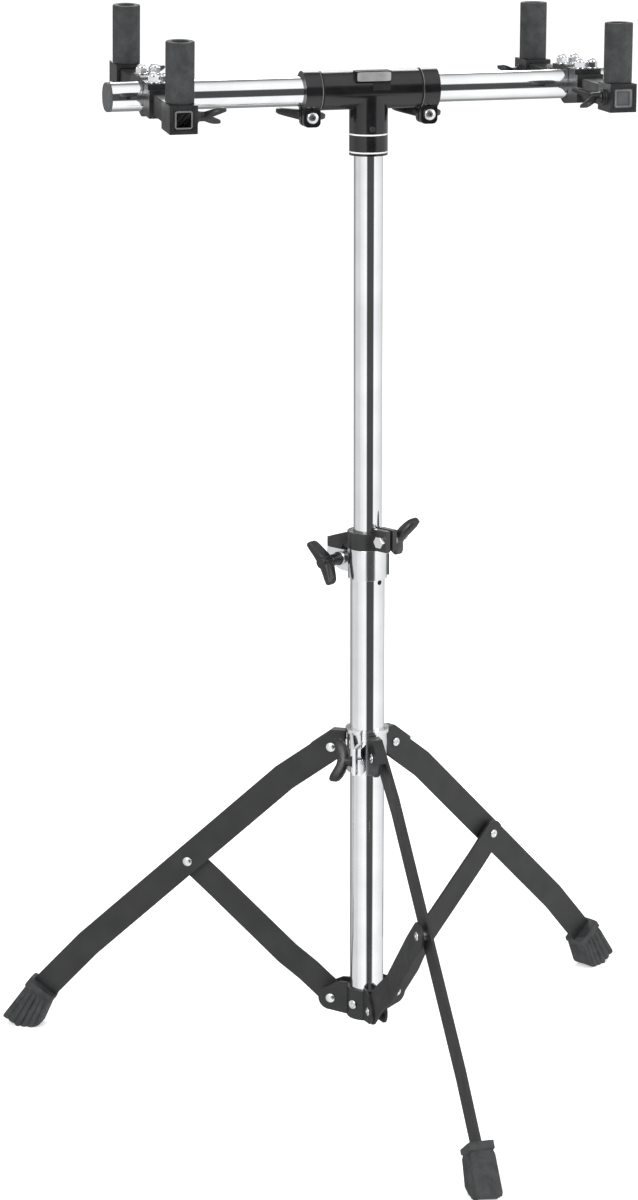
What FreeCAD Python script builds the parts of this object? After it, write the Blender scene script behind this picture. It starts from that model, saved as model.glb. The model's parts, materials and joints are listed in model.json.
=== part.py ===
import FreeCAD, Part
import math
import os

from FreeCAD import Placement, Rotation, Vector

# A three-legged percussion stand, in millimetres, +Z up.
# The origin is on the floor, on the pole's axis. The crossbar runs along X and one leg
# points to -Y.

# ---------------------------------------------------------------------------
# Driving dimensions: each becomes one aliased cell of the spreadsheet.
# ---------------------------------------------------------------------------
DIMENSIONS = {
    # tubes
    "lower_tube_diameter": 35.0,
    "lower_tube_wall": 1.5,
    "lower_tube_bottom": 50.0,
    "lower_tube_top": 545.0,
    "index_hole_diameter": 4.0,
    "index_hole_height": 513.0,
    "pole_diameter": 28.6,
    "pole_wall": 1.5,
    "pole_bottom": 350.0,
    "pole_top": 978.0,
    "bush_length": 45.0,
    "running_gap": 0.1,
    # folding leg linkage, seen in the upright plane of one leg
    "pivot_radius": 37.0,
    "collar_pivot_height": 335.0,
    "base_pivot_height": 62.0,
    "knee_radius": 192.0,
    "leg_half_depth": 14.3,
    "leg_thickness": 3.0,
    "leg_face": 5.5,
    "leg_bend_one_along": 62.0,
    "leg_bend_one_rise": 5.5,
    "leg_bend_two_along": 358.0,
    "leg_bend_two_rise": -2.5,
    "leg_end_along": 452.0,
    "leg_end_rise": -12.0,
    "leg_head_inner": 22.7,
    "leg_head_top": 353.5,
    "fork_along": 18.0,
    "brace_half_depth": 14.0,
    "brace_thickness": 3.0,
    "brace_base_offset": -5.0,
    "brace_bow_offset": 0.0,
    "brace_knee_offset": -4.0,
    "rivet_radius": 3.0,
    "rivet_head_radius": 5.0,
    "rivet_head_height": 2.5,
    "rivet_ring_radius": 4.2,
    "rivet_ring_height": 1.5,
    "moving_gap": 0.3,
    # rubber feet
    "foot_width": 25.0,
    "foot_reach": 401.0,
    "foot_heel_radius": 11.4,
    # bottom bracket
    "hub_radius": 20.5,
    "hub_bottom": 45.0,
    "hub_top": 77.0,
    "hub_drain_radius": 10.0,
    "cheek_root_depth": 1.5,
    "cheek_rise": 4.0,
    "cheek_shoulder": 8.0,
    "cheek_thickness": 2.5,
    "cheek_inner_cw": 6.8,
    "cheek_inner_ccw": 5.6,
    "cheek_end_radius": 13.0,
    "bracket_screw_height": 61.0,
    "bracket_screw_head_radius": 4.6,
    "bracket_screw_head_height": 1.6,
    "bracket_screw_socket_radius": 1.5,
    "bracket_screw_socket_depth": 2.0,
    # leg collar
    "collar_bottom": 312.0,
    "collar_top": 358.0,
    "collar_rim_bottom": 354.0,
    "collar_radius": 20.5,
    "collar_rim_radius": 22.3,
    "collar_lug_thickness": 4.4,
    "collar_lug_half_height": 9.0,
    "collar_ear_angle": 238.0,
    "collar_ear_inner": 15.0,
    "collar_ear_outer": 40.0,
    "collar_ear_bottom": 317.0,
    "collar_ear_top": 345.0,
    "collar_ear_thickness": 3.2,
    "collar_ear_slot": 2.4,
    "collar_lug_root": 15.0,
    "collar_bolt_radius": 33.5,
    "collar_bolt_height": 330.0,
    # height clamp on the lower tube
    "clamp_bottom": 516.0,
    "clamp_top": 547.0,
    "clamp_radius": 20.0,
    "clamp_ear_angle": 122.0,
    "clamp_ear_inner": 16.0,
    "clamp_ear_outer": 50.0,
    "clamp_ear_bottom": 519.0,
    "clamp_ear_top": 541.0,
    "clamp_ear_thickness": 4.0,
    "clamp_ear_slot": 3.5,
    "clamp_slant_start": 28.0,
    "clamp_slant_height": 518.4,
    "clamp_slant_angle": 17.0,
    "clamp_rib_angle": 345.0,
    "clamp_rib_depth": 6.0,
    "clamp_rib_width": 9.0,
    "clamp_rib_height": 22.0,
    "clamp_washer_radius": 7.0,
    "clamp_nut_radius": 6.4,
    "nut_height": 4.5,
    "clamp_bolt_radius": 33.0,
    "clamp_bolt_height": 531.0,
    # memory lock on the pole
    "lock_bottom": 547.3,
    "lock_top": 564.5,
    "lock_radius": 20.5,
    "lock_ear_angle": 300.0,
    "lock_ear_inner": 15.0,
    "lock_ear_outer": 33.0,
    "lock_ear_top": 569.0,
    "lock_ear_thickness": 6.2,
    "lock_ear_slot": 3.6,
    "lock_tongue_width": 13.0,
    "lock_bolt_half_grip": 8.0,
    "lock_bolt_shank": 37.0,
    "lock_bolt_head_radius": 6.3,
    "lock_washer_radius": 6.8,
    "lock_bolt_radius": 26.0,
    "lock_bolt_height": 557.5,
    # T head
    "bar_height": 1006.0,
    "head_radius": 19.0,
    "head_ring_radius": 19.7,
    "head_pad_length": 35.0,
    "head_pad_depth": 13.5,
    "head_pad_height": 10.0,
    "head_pad_proud": 0.4,
    "head_ear_top_drop": 8.0,
    "head_ear_corner": 5.0,
    "head_slit_top_drop": 24.0,
    "head_bolt_head_radius": 6.0,
    "head_bolt_head_height": 4.0,
    "head_bolt_shank": 40.0,
    "head_half_length": 68.0,
    "head_bottom": 942.5,
    "head_ring_width": 17.0,
    "head_slit": 1.5,
    "head_ear_drop": 34.5,
    "head_ear_thickness": 7.5,
    "head_ear_slot": 3.0,
    "head_bolt_drop": 25.0,
    # crossbar tubes
    "bar_inner_end": 13.0,
    "bar_outer_end": 258.0,
    "bar_plug_length": 5.0,
    "bar_plug_stem": 16.0,
    # cross arms and posts
    "arm_centre": 215.0,
    "left_arm_tilt": 4.3,
    "right_arm_tilt": 0.4,
    "rail_size": 20.0,
    "rail_wall": 1.8,
    "rail_drop": 1.3,
    "rail_start": 17.0,
    "rail_plug_recess": 1.5,
    "rail_plug_length": 10.0,
    "saddle_seat": 12.2,
    "saddle_top": 17.0,
    "saddle_radius": 19.5,
    "saddle_length": 28.0,
    "saddle_flange_length": 66.0,
    "saddle_gap": 1.0,
    "arm_ring_radius": 19.5,
    "arm_ring_length": 24.0,
    "arm_ring_top": 0.7,
    "arm_socket_inner": 14.0,
    "arm_socket_outer": 40.0,
    "arm_bolt_x": 6.5,
    "arm_bolt_y": 25.0,
    "arm_washer_radius": 6.2,
    "arm_bolt_head_radius": 5.2,
    "arm_bolt_head_height": 9.0,
    "arm_bolt_socket_radius": 2.6,
    "arm_bolt_socket_depth": 3.5,
    "arm_bolt_shank_bottom": 9.0,
    "left_front_reach": 107.0,
    "left_rear_reach": 120.0,
    "right_front_reach": 115.0,
    "right_rear_reach": 131.0,
    "carriage_width": 27.0,
    "carriage_length": 34.0,
    "carriage_boss_radius": 8.0,
    "carriage_boss_height": 3.0,
    "post_diameter": 27.2,
    "post_height": 57.0,
    "post_bore_diameter": 16.0,
    "post_bore_depth": 7.0,
    "stud_diameter": 12.0,
    "stud_height": 45.0,
    # clamping screws
    "screw_radius": 3.0,
    "washer_height": 1.2,
}

LEG_DIRECTIONS = {"front": 270.0, "right": 30.0, "left": 150.0}
BRACKET_SCREW_DIRECTIONS = (90.0, 210.0, 330.0)
INDEX_HOLE_DIRECTION = 298.0
# how each wing stands about its own screw, in degrees
WING_TURNS = {"height": -54.0, "memory": -56.0, "collar": 115.0, "bar": 8.0, "front": 60.0, "rear": 120.0}
# tools that cut right through a piece are longer than any piece is deep
THROUGH = 60.0
OVERLAP = 1.0

doc = FreeCAD.newDocument("percussion_stand")
sheet = doc.addObject("Spreadsheet::Sheet", "Sizes")
for row, (alias, value) in enumerate(DIMENSIONS.items(), start=1):
    sheet.set("A%d" % row, alias)
    sheet.set("B%d" % row, str(value))
    sheet.setAlias("B%d" % row, alias)
doc.recompute()

sub_parts = []


def size(alias):
    """The value of one driving dimension."""
    return float(sheet.get(alias))


def cell(alias):
    """The same dimension as it is written in an expression."""
    return "Sizes." + alias


# ---------------------------------------------------------------------------
# Building blocks
# ---------------------------------------------------------------------------
def bind(thing, **expressions):
    """Bind properties of an object to expressions."""
    for name, expression in expressions.items():
        thing.setExpression(name, expression)
    return thing


def cylinder(name, radius, height, base=(0, 0, 0), axis=(0, 0, 1)):
    """A cylinder from base along axis; radius and height are expressions."""
    thing = doc.addObject("Part::Cylinder", name)
    bind(thing, Radius=radius, Height=height)
    thing.Placement = Placement(Vector(*base), Rotation(Vector(0, 0, 1), Vector(*axis)))
    return thing


def box(name, length, width, height, corner):
    """A box along the axes from its lowest corner; its sides are expressions."""
    thing = doc.addObject("Part::Box", name)
    bind(thing, Length=length, Width=width, Height=height)
    thing.Placement = Placement(Vector(*corner), Rotation())
    return thing


def moved(thing, placement):
    """Put a building block somewhere else."""
    thing.Placement = placement.multiply(thing.Placement)
    return thing


def fuse(name, *things):
    """Join several objects into one solid."""
    thing = doc.addObject("Part::MultiFuse", name)
    thing.Shapes = list(things)
    thing.Refine = True
    return thing


def cut(name, base, *tools):
    """Take each tool away from the base."""
    for number, tool in enumerate(tools, start=1):
        thing = doc.addObject("Part::Cut", "%s_%d" % (name, number))
        thing.Base = base
        thing.Tool = tool
        base = thing
    return base


def common(name, first, second):
    """What two objects share."""
    thing = doc.addObject("Part::Common", name)
    thing.Base = first
    thing.Tool = second
    return thing


def group(name, *things):
    """Separate solids in one object."""
    thing = doc.addObject("Part::Compound", name)
    thing.Links = list(things)
    return thing


def tube(name, outer, inner, height, base=(0, 0, 0), axis=(0, 0, 1)):
    """A round tube; outer and inner radii and the height are expressions."""
    shell = cylinder(name + "_outside", outer, height, base, axis)
    hole = cylinder(name + "_inside", inner, height, base, axis)
    return cut(name, shell, hole)


def half_of(alias):
    """Half of a dimension, as an expression."""
    return cell(alias) + " / 2"


def loose(expression):
    """A radius opened by the running gap, as an expression."""
    return expression + " + " + cell("running_gap")


def cross_hole(name, radius, x, z):
    """A drill along Y that goes right through; the radius is an expression."""
    return cylinder(name, radius, str(THROUGH), (x, -THROUGH / 2, z), (0, 1, 0))


def hexagon(name, radius, height, placement):
    """A six-sided nut or bolt head; radius and height are expressions."""
    thing = doc.addObject("Part::Prism", name)
    thing.Polygon = 6
    bind(thing, Circumradius=radius, Height=height)
    thing.Placement = placement
    return thing


def origin_plane(body, role):
    """One of a body's own three origin planes."""
    for feature in body.Origin.OriginFeatures:
        if feature.Role == role:
            return feature
    raise ValueError(role)


def plate(name, outline, thickness, face):
    """A padded plate in the XZ plane, from Y = face towards -Y; sizes are expressions.

    The outline is a list of points (x, z); a point written ((x, z), (x, z)) is an arc
    through the first to the second.
    """
    body = doc.addObject("PartDesign::Body", name)
    sketch = body.newObject("Sketcher::SketchObject", name + "_sketch")
    sketch.AttachmentSupport = (origin_plane(body, "XZ_Plane"), [""])
    sketch.MapMode = "FlatFace"
    sketch.setExpression("AttachmentOffset.Base.z", "-(%s)" % face)
    start = Vector(*outline[0], 0)
    last = start
    for item in outline[1:] + [outline[0]]:
        if isinstance(item[0], tuple):
            middle, end = Vector(*item[0], 0), Vector(*item[1], 0)
            sketch.addGeometry(Part.Arc(last, middle, end))
        else:
            end = Vector(*item, 0)
            if last.distanceToPoint(end) < 1e-6:
                continue
            sketch.addGeometry(Part.LineSegment(last, end))
        last = end
    pad = body.newObject("PartDesign::Pad", name + "_pad")
    pad.Profile = sketch
    pad.setExpression("Length", thickness)
    return body


def sub_part(thing, label, *placements):
    """Name a finished piece and put it in the stand."""
    place = Placement()
    for placement in placements:
        place = place.multiply(placement)
    holder = doc.addObject("Part::Compound", "placed_" + label)
    holder.Links = [thing]
    holder.Placement = place
    holder.Label = label
    sub_parts.append(holder)
    return holder


def turned(angle):
    """A turn about the pole."""
    return Placement(Vector(0, 0, 0), Rotation(Vector(0, 0, 1), angle))


# ---------------------------------------------------------------------------
# Plane geometry
# ---------------------------------------------------------------------------
def along_line(origin, target, distance, rise):
    """The point a distance along a line from origin to target and a rise above it."""
    dx, dz = target[0] - origin[0], target[1] - origin[1]
    length = math.hypot(dx, dz)
    ux, uz = dx / length, dz / length
    side = 1 if ux > 0 else -1
    return (origin[0] + ux * distance - uz * rise * side, origin[1] + uz * distance + ux * rise * side)


def offset_line(points, distance):
    """A polyline moved sideways by a distance, with mitred corners."""
    moved_points = []
    for index, point in enumerate(points):
        normals = []
        for first in (index - 1, index):
            if 0 <= first < len(points) - 1:
                dx = points[first + 1][0] - points[first][0]
                dz = points[first + 1][1] - points[first][1]
                length = math.hypot(dx, dz)
                normals.append((-dz / length, dx / length))
        nx = sum(normal[0] for normal in normals)
        nz = sum(normal[1] for normal in normals)
        scale = distance * len(normals) / (nx * nx + nz * nz)
        moved_points.append((point[0] + nx * scale, point[1] + nz * scale))
    return moved_points


def on_circle(centre, radius, angle):
    """A point on a circle, with the angle in degrees from +X."""
    turn = math.radians(angle)
    return (centre[0] + radius * math.cos(turn), centre[1] + radius * math.sin(turn))


def collar_pivot():
    return (size("pivot_radius"), size("collar_pivot_height"))


def base_pivot():
    return (size("pivot_radius"), size("base_pivot_height"))


def knee_pivot():
    height = (size("collar_pivot_height") + size("base_pivot_height")) / 2
    return (size("knee_radius"), height)


def knee_distance():
    """Pivot to knee: the leg's upper part and the brace are equally long."""
    return math.dist(collar_pivot(), knee_pivot())


# ---------------------------------------------------------------------------
# Fasteners
# ---------------------------------------------------------------------------
def wing(name, hub_radius, hub_length, wing_radius, rise, bore=None, shank=None):
    """A wing nut or wing bolt along +Z, with its clamping face at Z = 0.

    bore is the radius of the hole through a wing nut. shank is the length of a wing bolt's
    screw below the clamping face. All are plain numbers, in millimetres.
    """
    hub = cylinder(name + "_hub", str(hub_radius), str(hub_length))
    tip = hub_length + rise
    root, neck = hub_radius * 0.8, hub_radius * 0.7
    shoulder, crown = wing_radius * 0.93, wing_radius * 0.72
    half_outline = [
        (root, hub_length * 0.35),
        (shoulder, tip - 6.0),
        (wing_radius, tip + 2.0),
        (crown, tip + 4.0),
        (neck, hub_length),
    ]
    outline = half_outline + [(-x, z) for x, z in reversed(half_outline)]
    blade_thickness = hub_radius * 1.1
    blade = plate(name + "_blade", outline, str(blade_thickness), str(blade_thickness / 2))
    pieces = [hub, blade]
    if shank:
        length = str(shank + OVERLAP)
        pieces.append(cylinder(name + "_shank", cell("screw_radius"), length, (0, 0, -shank)))
    knob = fuse(name + "_knob", *pieces)
    if bore:
        hole = cylinder(name + "_bore", str(bore), str(THROUGH), (0, 0, -OVERLAP))
        knob = cut(name + "_bored", knob, hole)
    return knob


def pivot_rivet(name, centre, ccw_face, cw_face):
    """A rivet along Y through a pivot: a domed head on +Y and a spread ring on -Y."""
    x, z = centre
    shank_length = ccw_face - cw_face
    shank = cylinder(name + "_shank", cell("rivet_radius"), str(shank_length), (x, cw_face, z), (0, 1, 0))
    head = doc.addObject("Part::Cone", name + "_head")
    bind(head, Radius1=cell("rivet_head_radius"), Radius2=cell("rivet_head_radius") + " * 0.55")
    bind(head, Height=cell("rivet_head_height"))
    head.Placement = Placement(Vector(x, ccw_face, z), Rotation(Vector(0, 0, 1), Vector(0, 1, 0)))
    ring_height = cell("rivet_ring_height")
    ring_base = (x, cw_face, z)
    ring = cylinder(name + "_ring", cell("rivet_ring_radius"), ring_height, ring_base, (0, -1, 0))
    return fuse(name, shank, head, ring)


# ---------------------------------------------------------------------------
# Base: tube, bottom bracket and height clamp
# ---------------------------------------------------------------------------
def make_lower_tube():
    length = cell("lower_tube_top") + " - " + cell("lower_tube_bottom")
    radius = half_of("lower_tube_diameter")
    inside = radius + " - " + cell("lower_tube_wall")
    body = tube("lower_tube_wall", radius, inside, length, (0, 0, size("lower_tube_bottom")))
    # a small index hole under the height clamp, through one wall
    x, y = on_circle((0, 0), size("lower_tube_diameter") / 4, INDEX_HOLE_DIRECTION)
    start = (x, y, size("index_hole_height"))
    hole = cylinder(
        "index_hole", half_of("index_hole_diameter"), half_of("lower_tube_diameter"), start, (x, y, 0)
    )
    sub_part(cut("lower_tube_drilled", body, hole), "lower_tube")


def cheek_outline():
    """One cheek of the bottom bracket, from the hub to a round end about the pivot."""
    pivot = base_pivot()
    radius = size("cheek_end_radius")
    inner = size("hub_radius") - size("cheek_root_depth")
    top = size("hub_top") + size("cheek_rise")
    return [
        (inner, size("hub_bottom") + OVERLAP),
        on_circle(pivot, radius, 270.0),
        (on_circle(pivot, radius, 0.0), on_circle(pivot, radius, 62.0)),
        (inner + size("cheek_shoulder"), top),
        (inner, top),
    ]


def make_bottom_bracket():
    height = cell("hub_top") + " - " + cell("hub_bottom")
    pieces = [cylinder("hub_wall", cell("hub_radius"), height, (0, 0, size("hub_bottom")))]
    thickness = cell("cheek_thickness")
    cw_face = "-" + cell("cheek_inner_cw")
    ccw_face = cell("cheek_inner_ccw") + " + " + thickness
    holes = []
    for name, direction in LEG_DIRECTIONS.items():
        for side, face in (("cw", cw_face), ("ccw", ccw_face)):
            cheek = plate("%s_cheek_%s" % (name, side), cheek_outline(), thickness, face)
            pieces.append(moved(cheek, turned(direction)))
        x, z = base_pivot()
        hole = cross_hole(name + "_cheek_hole", cell("rivet_radius"), x, z)
        holes.append(moved(hole, turned(direction)))
    socket = cylinder(
        "hub_socket", half_of("lower_tube_diameter"), height, (0, 0, size("lower_tube_bottom"))
    )
    drain = cylinder("hub_drain", cell("hub_drain_radius"), height, (0, 0, size("hub_bottom") - OVERLAP))
    for direction in BRACKET_SCREW_DIRECTIONS:
        x, y = on_circle((0, 0), size("hub_radius") / 2, direction)
        base = (x, y, size("bracket_screw_height"))
        hole = cylinder(
            "screw_hole_%d" % direction, cell("screw_radius"), cell("hub_radius"), base, (x, y, 0)
        )
        holes.append(hole)
    body = cut("bottom_bracket_body", fuse("bottom_bracket_raw", *pieces), socket, drain, *holes)
    sub_part(body, "bottom_bracket")


def make_bracket_screws():
    """Three hollow-headed screws that hold the bracket on the tube."""
    height = size("bracket_screw_height")
    seat, inner = size("hub_radius"), size("lower_tube_diameter") / 2
    bottom = seat + size("bracket_screw_head_height") - size("bracket_screw_socket_depth")
    screws = []
    for direction in BRACKET_SCREW_DIRECTIONS:
        name = "bracket_screw_%d" % direction
        shank_length = cell("hub_radius") + " - " + half_of("lower_tube_diameter")
        shank = cylinder(name + "_shank", cell("screw_radius"), shank_length, (inner, 0, height), (1, 0, 0))
        head_radius, head_height = cell("bracket_screw_head_radius"), cell("bracket_screw_head_height")
        head = cylinder(name + "_head", head_radius, head_height, (seat, 0, height), (1, 0, 0))
        socket_radius, depth = cell("bracket_screw_socket_radius"), cell("bracket_screw_socket_depth")
        socket = cylinder(name + "_socket", socket_radius, depth, (bottom, 0, height), (1, 0, 0))
        screw = cut(name, fuse(name + "_body", shank, head), socket)
        screws.append(moved(screw, turned(direction)))
    sub_part(group("bracket_screw_set", *screws), "bracket_screws")


def ear_pair(name, owner, bottom):
    """Two ears beside the pole, and the slot that splits them and their ring.

    The ears' inner, outer, top, thickness and slot are the owner's dimensions.
    """
    angle = size(owner + "_ear_angle")
    inner, outer = size(owner + "_ear_inner"), size(owner + "_ear_outer")
    top, slot = size(owner + "_ear_top"), size(owner + "_ear_slot")
    depth = size(owner + "_ear_thickness") * 2 + slot
    ears = box(name, str(outer - inner), str(depth), str(top - bottom), (inner, -depth / 2, bottom))
    margin = THROUGH / 4
    height = str(top - bottom + 2 * margin)
    slit = box(name + "_slit", str(outer), str(slot), height, (OVERLAP, -slot / 2, bottom - margin))
    return moved(ears, turned(angle)), moved(slit, turned(angle))


def ear_face(owner):
    """How far a pair's outer face stands from the plane between the two ears."""
    return size(owner + "_ear_thickness") + size(owner + "_ear_slot") / 2


def make_height_clamp():
    bottom = size("clamp_bottom")
    height = cell("clamp_top") + " - " + cell("clamp_bottom")
    ring = cylinder("clamp_ring", cell("clamp_radius"), height, (0, 0, bottom))
    angle = size("clamp_ear_angle")
    ears, slit = ear_pair("clamp_ears", "clamp", size("clamp_ear_bottom"))
    rib_width = size("clamp_rib_width")
    rib_corner = (size("clamp_ear_inner"), -rib_width / 2, size("clamp_ear_bottom"))
    rib = box(
        "clamp_rib", cell("clamp_rib_depth"), cell("clamp_rib_width"), cell("clamp_rib_height"), rib_corner
    )
    rib = moved(rib, turned(size("clamp_rib_angle")))
    bore = cylinder("clamp_bore", half_of("lower_tube_diameter"), height, (0, 0, bottom))
    bolt_hole = cross_hole(
        "clamp_bolt_hole", loose(cell("screw_radius")), size("clamp_bolt_radius"), size("clamp_bolt_height")
    )
    # the lower outer corner of the ears is cut on a slant
    slant = box("clamp_ear_slant", str(THROUGH), "20", "20", (0, -10, -20))
    slant_turn = Rotation(Vector(0, 1, 0), -size("clamp_slant_angle"))
    slant.Placement = Placement(
        Vector(size("clamp_slant_start"), -10, size("clamp_slant_height")), slant_turn
    )
    slant.Placement = slant.Placement.multiply(Placement(Vector(0, 0, -20), Rotation()))
    raw = fuse("height_clamp_raw", ring, ears, rib)
    body = cut(
        "height_clamp_body", raw, bore, slit, moved(bolt_hole, turned(angle)), moved(slant, turned(angle))
    )
    sub_part(body, "height_clamp")


def make_clamp_hardware():
    """The nut on the far ear of the height clamp and the washer under its wing bolt."""
    radius, height = size("clamp_bolt_radius"), size("clamp_bolt_height")
    face = ear_face("clamp")
    hole_radius = loose(cell("screw_radius"))
    washer_base = (radius, face, height)
    washer = tube(
        "clamp_washer",
        cell("clamp_washer_radius"),
        hole_radius,
        cell("washer_height"),
        washer_base,
        (0, 1, 0),
    )
    place = Placement(Vector(radius, -face, height), Rotation(Vector(0, 0, 1), Vector(0, -1, 0)))
    nut = hexagon("clamp_nut_blank", cell("clamp_nut_radius"), cell("nut_height"), place)
    hole = cross_hole("clamp_nut_hole", hole_radius, radius, height)
    hardware = group("clamp_fastener_set", washer, cut("clamp_nut", nut, hole))
    sub_part(hardware, "clamp_nut_and_washer", turned(size("clamp_ear_angle")))


def facing(angle, radius, height, start):
    """Where a screw across a pair of ears clamps: +Z of the piece runs along the screw."""
    place = Placement(Vector(radius, start, height), Rotation(Vector(0, 0, 1), Vector(0, 1, 0)))
    return turned(angle).multiply(place)


def wing_turn(name):
    """How a wing stands about its own screw."""
    return Placement(Vector(), Rotation(Vector(0, 0, 1), WING_TURNS[name]))


def make_height_wing_bolt():
    start = ear_face("clamp") + size("washer_height") + size("moving_gap")
    shank = start + ear_face("clamp") + size("nut_height")
    knob = wing("height_wing", 6.5, 21.0, 24.0, 7.0, shank=shank)
    place = facing(size("clamp_ear_angle"), size("clamp_bolt_radius"), size("clamp_bolt_height"), start)
    sub_part(knob, "height_wing_bolt", place, wing_turn("height"))


def make_pole_bush():
    """The sleeve that guides the pole in the lower tube and turns with it."""
    outer = "%s - %s - %s" % (half_of("lower_tube_diameter"), cell("lower_tube_wall"), cell("running_gap"))
    base = (0, 0, size("lower_tube_top") - size("bush_length"))
    sub_part(
        tube("pole_bush_sleeve", outer, loose(half_of("pole_diameter")), cell("bush_length"), base),
        "pole_bush",
    )


# ---------------------------------------------------------------------------
# Memory lock
# ---------------------------------------------------------------------------
def make_memory_lock():
    height = cell("lock_top") + " - " + cell("lock_bottom")
    bottom = size("lock_bottom")
    ring = cylinder("lock_ring", cell("lock_radius"), height, (0, 0, bottom))
    angle = size("lock_ear_angle")
    ears, slit = ear_pair("lock_ears", "lock", bottom)
    # a tongue that tapers out and hangs over the ears of the height clamp
    root = size("lock_radius") - 8.5
    lip, tip = size("clamp_ear_top") + 0.5, size("clamp_ear_outer") - 1.0
    tongue_outline = [
        (root, size("lock_top") - 1.0),
        (root, bottom),
        (28.0, bottom),
        (30.0, lip),
        (tip, lip),
        (tip, lip + 10.0),
    ]
    half_width = cell("lock_tongue_width") + " / 2"
    tongue = moved(
        plate("lock_tongue", tongue_outline, cell("lock_tongue_width"), half_width),
        turned(size("clamp_ear_angle")),
    )
    bore = cylinder(
        "lock_bore", loose(half_of("pole_diameter")), str(THROUGH), (0, 0, bottom - THROUGH / 2)
    )
    bolt_hole = cross_hole(
        "lock_bolt_hole", cell("screw_radius"), size("lock_bolt_radius"), size("lock_bolt_height")
    )
    raw = fuse("memory_lock_raw", ring, ears, tongue)
    sub_part(cut("memory_lock_body", raw, bore, slit, moved(bolt_hole, turned(angle))), "memory_lock")


def make_memory_hardware():
    """The through bolt with its six-sided head, and the wing nut on its far end."""
    radius, height = size("lock_bolt_radius"), size("lock_bolt_height")
    grip = size("lock_bolt_half_grip")
    head_place = Placement(Vector(0, 0, -grip), Rotation(Vector(0, 0, 1), Vector(0, 0, -1)))
    head = hexagon("lock_bolt_head", cell("lock_bolt_head_radius"), cell("nut_height"), head_place)
    shank = cylinder("lock_bolt_shank", cell("screw_radius"), cell("lock_bolt_shank"), (0, 0, -grip))
    washer = cylinder("lock_bolt_washer", cell("lock_washer_radius"), cell("washer_height"), (0, 0, grip))
    angle = size("lock_ear_angle")
    sub_part(
        fuse("memory_bolt_body", head, shank, washer), "memory_bolt", facing(angle, radius, height, 0.0)
    )
    start = grip + size("washer_height") + size("moving_gap")
    bore = size("screw_radius") + size("running_gap")
    nut = wing("memory_wing", 6.0, 12.0, 23.5, 9.0, bore=bore)
    sub_part(nut, "memory_wing_nut", facing(angle, radius, height, start), wing_turn("memory"))


# ---------------------------------------------------------------------------
# Leg collar
# ---------------------------------------------------------------------------
def make_leg_collar():
    bottom, height = size("collar_bottom"), cell("collar_top") + " - " + cell("collar_bottom")
    rim_height = cell("collar_top") + " - " + cell("collar_rim_bottom")
    pieces = [
        cylinder("collar_ring", cell("collar_radius"), height, (0, 0, bottom)),
        cylinder("collar_rim", cell("collar_rim_radius"), rim_height, (0, 0, size("collar_rim_bottom"))),
    ]
    x, z = collar_pivot()
    lug = size("collar_lug_half_height")
    root = size("collar_lug_root")
    lug_outline = [
        (root, z - lug * 1.5),
        (x - lug / 2, z - lug),
        (x, z - lug),
        ((x + lug, z), (x, z + lug)),
        (root, z + lug),
    ]
    holes = []
    for name, direction in LEG_DIRECTIONS.items():
        piece = plate(
            name + "_lug", lug_outline, cell("collar_lug_thickness"), half_of("collar_lug_thickness")
        )
        pieces.append(moved(piece, turned(direction)))
        holes.append(moved(cross_hole(name + "_lug_hole", cell("rivet_radius"), x, z), turned(direction)))
    ears, slit = ear_pair("collar_ears", "collar", size("collar_ear_bottom"))
    pieces.append(ears)
    bolt_hole = cross_hole(
        "collar_bolt_hole", loose(cell("screw_radius")), size("collar_bolt_radius"), size(
            "collar_bolt_height"
        )
    )
    bore = cylinder("collar_bore", loose(half_of("lower_tube_diameter")), height, (0, 0, bottom))
    raw = fuse("leg_collar_raw", *pieces)
    bolt_hole = moved(bolt_hole, turned(size("collar_ear_angle")))
    sub_part(cut("leg_collar_body", raw, bore, slit, bolt_hole, *holes), "leg_collar")


def make_leg_pivot_rivets():
    face = size("leg_face") + size("moving_gap")
    rivets = []
    for name, direction in LEG_DIRECTIONS.items():
        rivet = pivot_rivet(name + "_leg_rivet", collar_pivot(), face, -face)
        rivets.append(moved(rivet, turned(direction)))
    sub_part(group("leg_rivet_set", *rivets), "leg_pivot_rivets")


def make_collar_wing_bolt():
    start = ear_face("collar") + size("moving_gap")
    knob = wing("collar_wing", 6.2, 14.0, 21.5, 6.0, shank=start + ear_face("collar"))
    place = facing(size("collar_ear_angle"), size("collar_bolt_radius"), size("collar_bolt_height"), -start)
    flip = Placement(Vector(), Rotation(Vector(1, 0, 0), 180))
    sub_part(knob, "collar_wing_bolt", place, flip, wing_turn("collar"))


# ---------------------------------------------------------------------------
# Legs, feet and braces
# ---------------------------------------------------------------------------
def leg_centreline():
    pivot, knee = collar_pivot(), knee_pivot()
    points = [pivot]
    for bend in ("leg_bend_one", "leg_bend_two", "leg_end"):
        points.append(along_line(pivot, knee, size(bend + "_along"), size(bend + "_rise")))
    return points


def leg_edges():
    """The leg's upper edge from its head outwards, and its lower edge back to the pivot."""
    line = leg_centreline()
    half = size("leg_half_depth")
    upper = offset_line(line, half)
    lower = offset_line(line, -half)
    # the upper edge starts where it leaves the flat top of the head
    (x0, z0), (x1, z1) = upper[0], upper[1]
    top = size("leg_head_top")
    share = (top - z0) / (z1 - z0)
    upper[0] = (x0 + (x1 - x0) * share, top)
    return upper, lower


def head_end():
    """The round lower end of the leg's head and its straight inner side."""
    pivot = collar_pivot()
    half = size("leg_half_depth")
    upper, lower = leg_edges()
    start = math.degrees(math.atan2(lower[0][1] - pivot[1], lower[0][0] - pivot[0]))
    middle = (start - 180) / 2
    return [(on_circle(pivot, half, middle), on_circle(pivot, half, 180.0))]


def leg_outline():
    upper, lower = leg_edges()
    return [(size("leg_head_inner"), size("leg_head_top"))] + upper + lower[::-1] + head_end()


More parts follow.
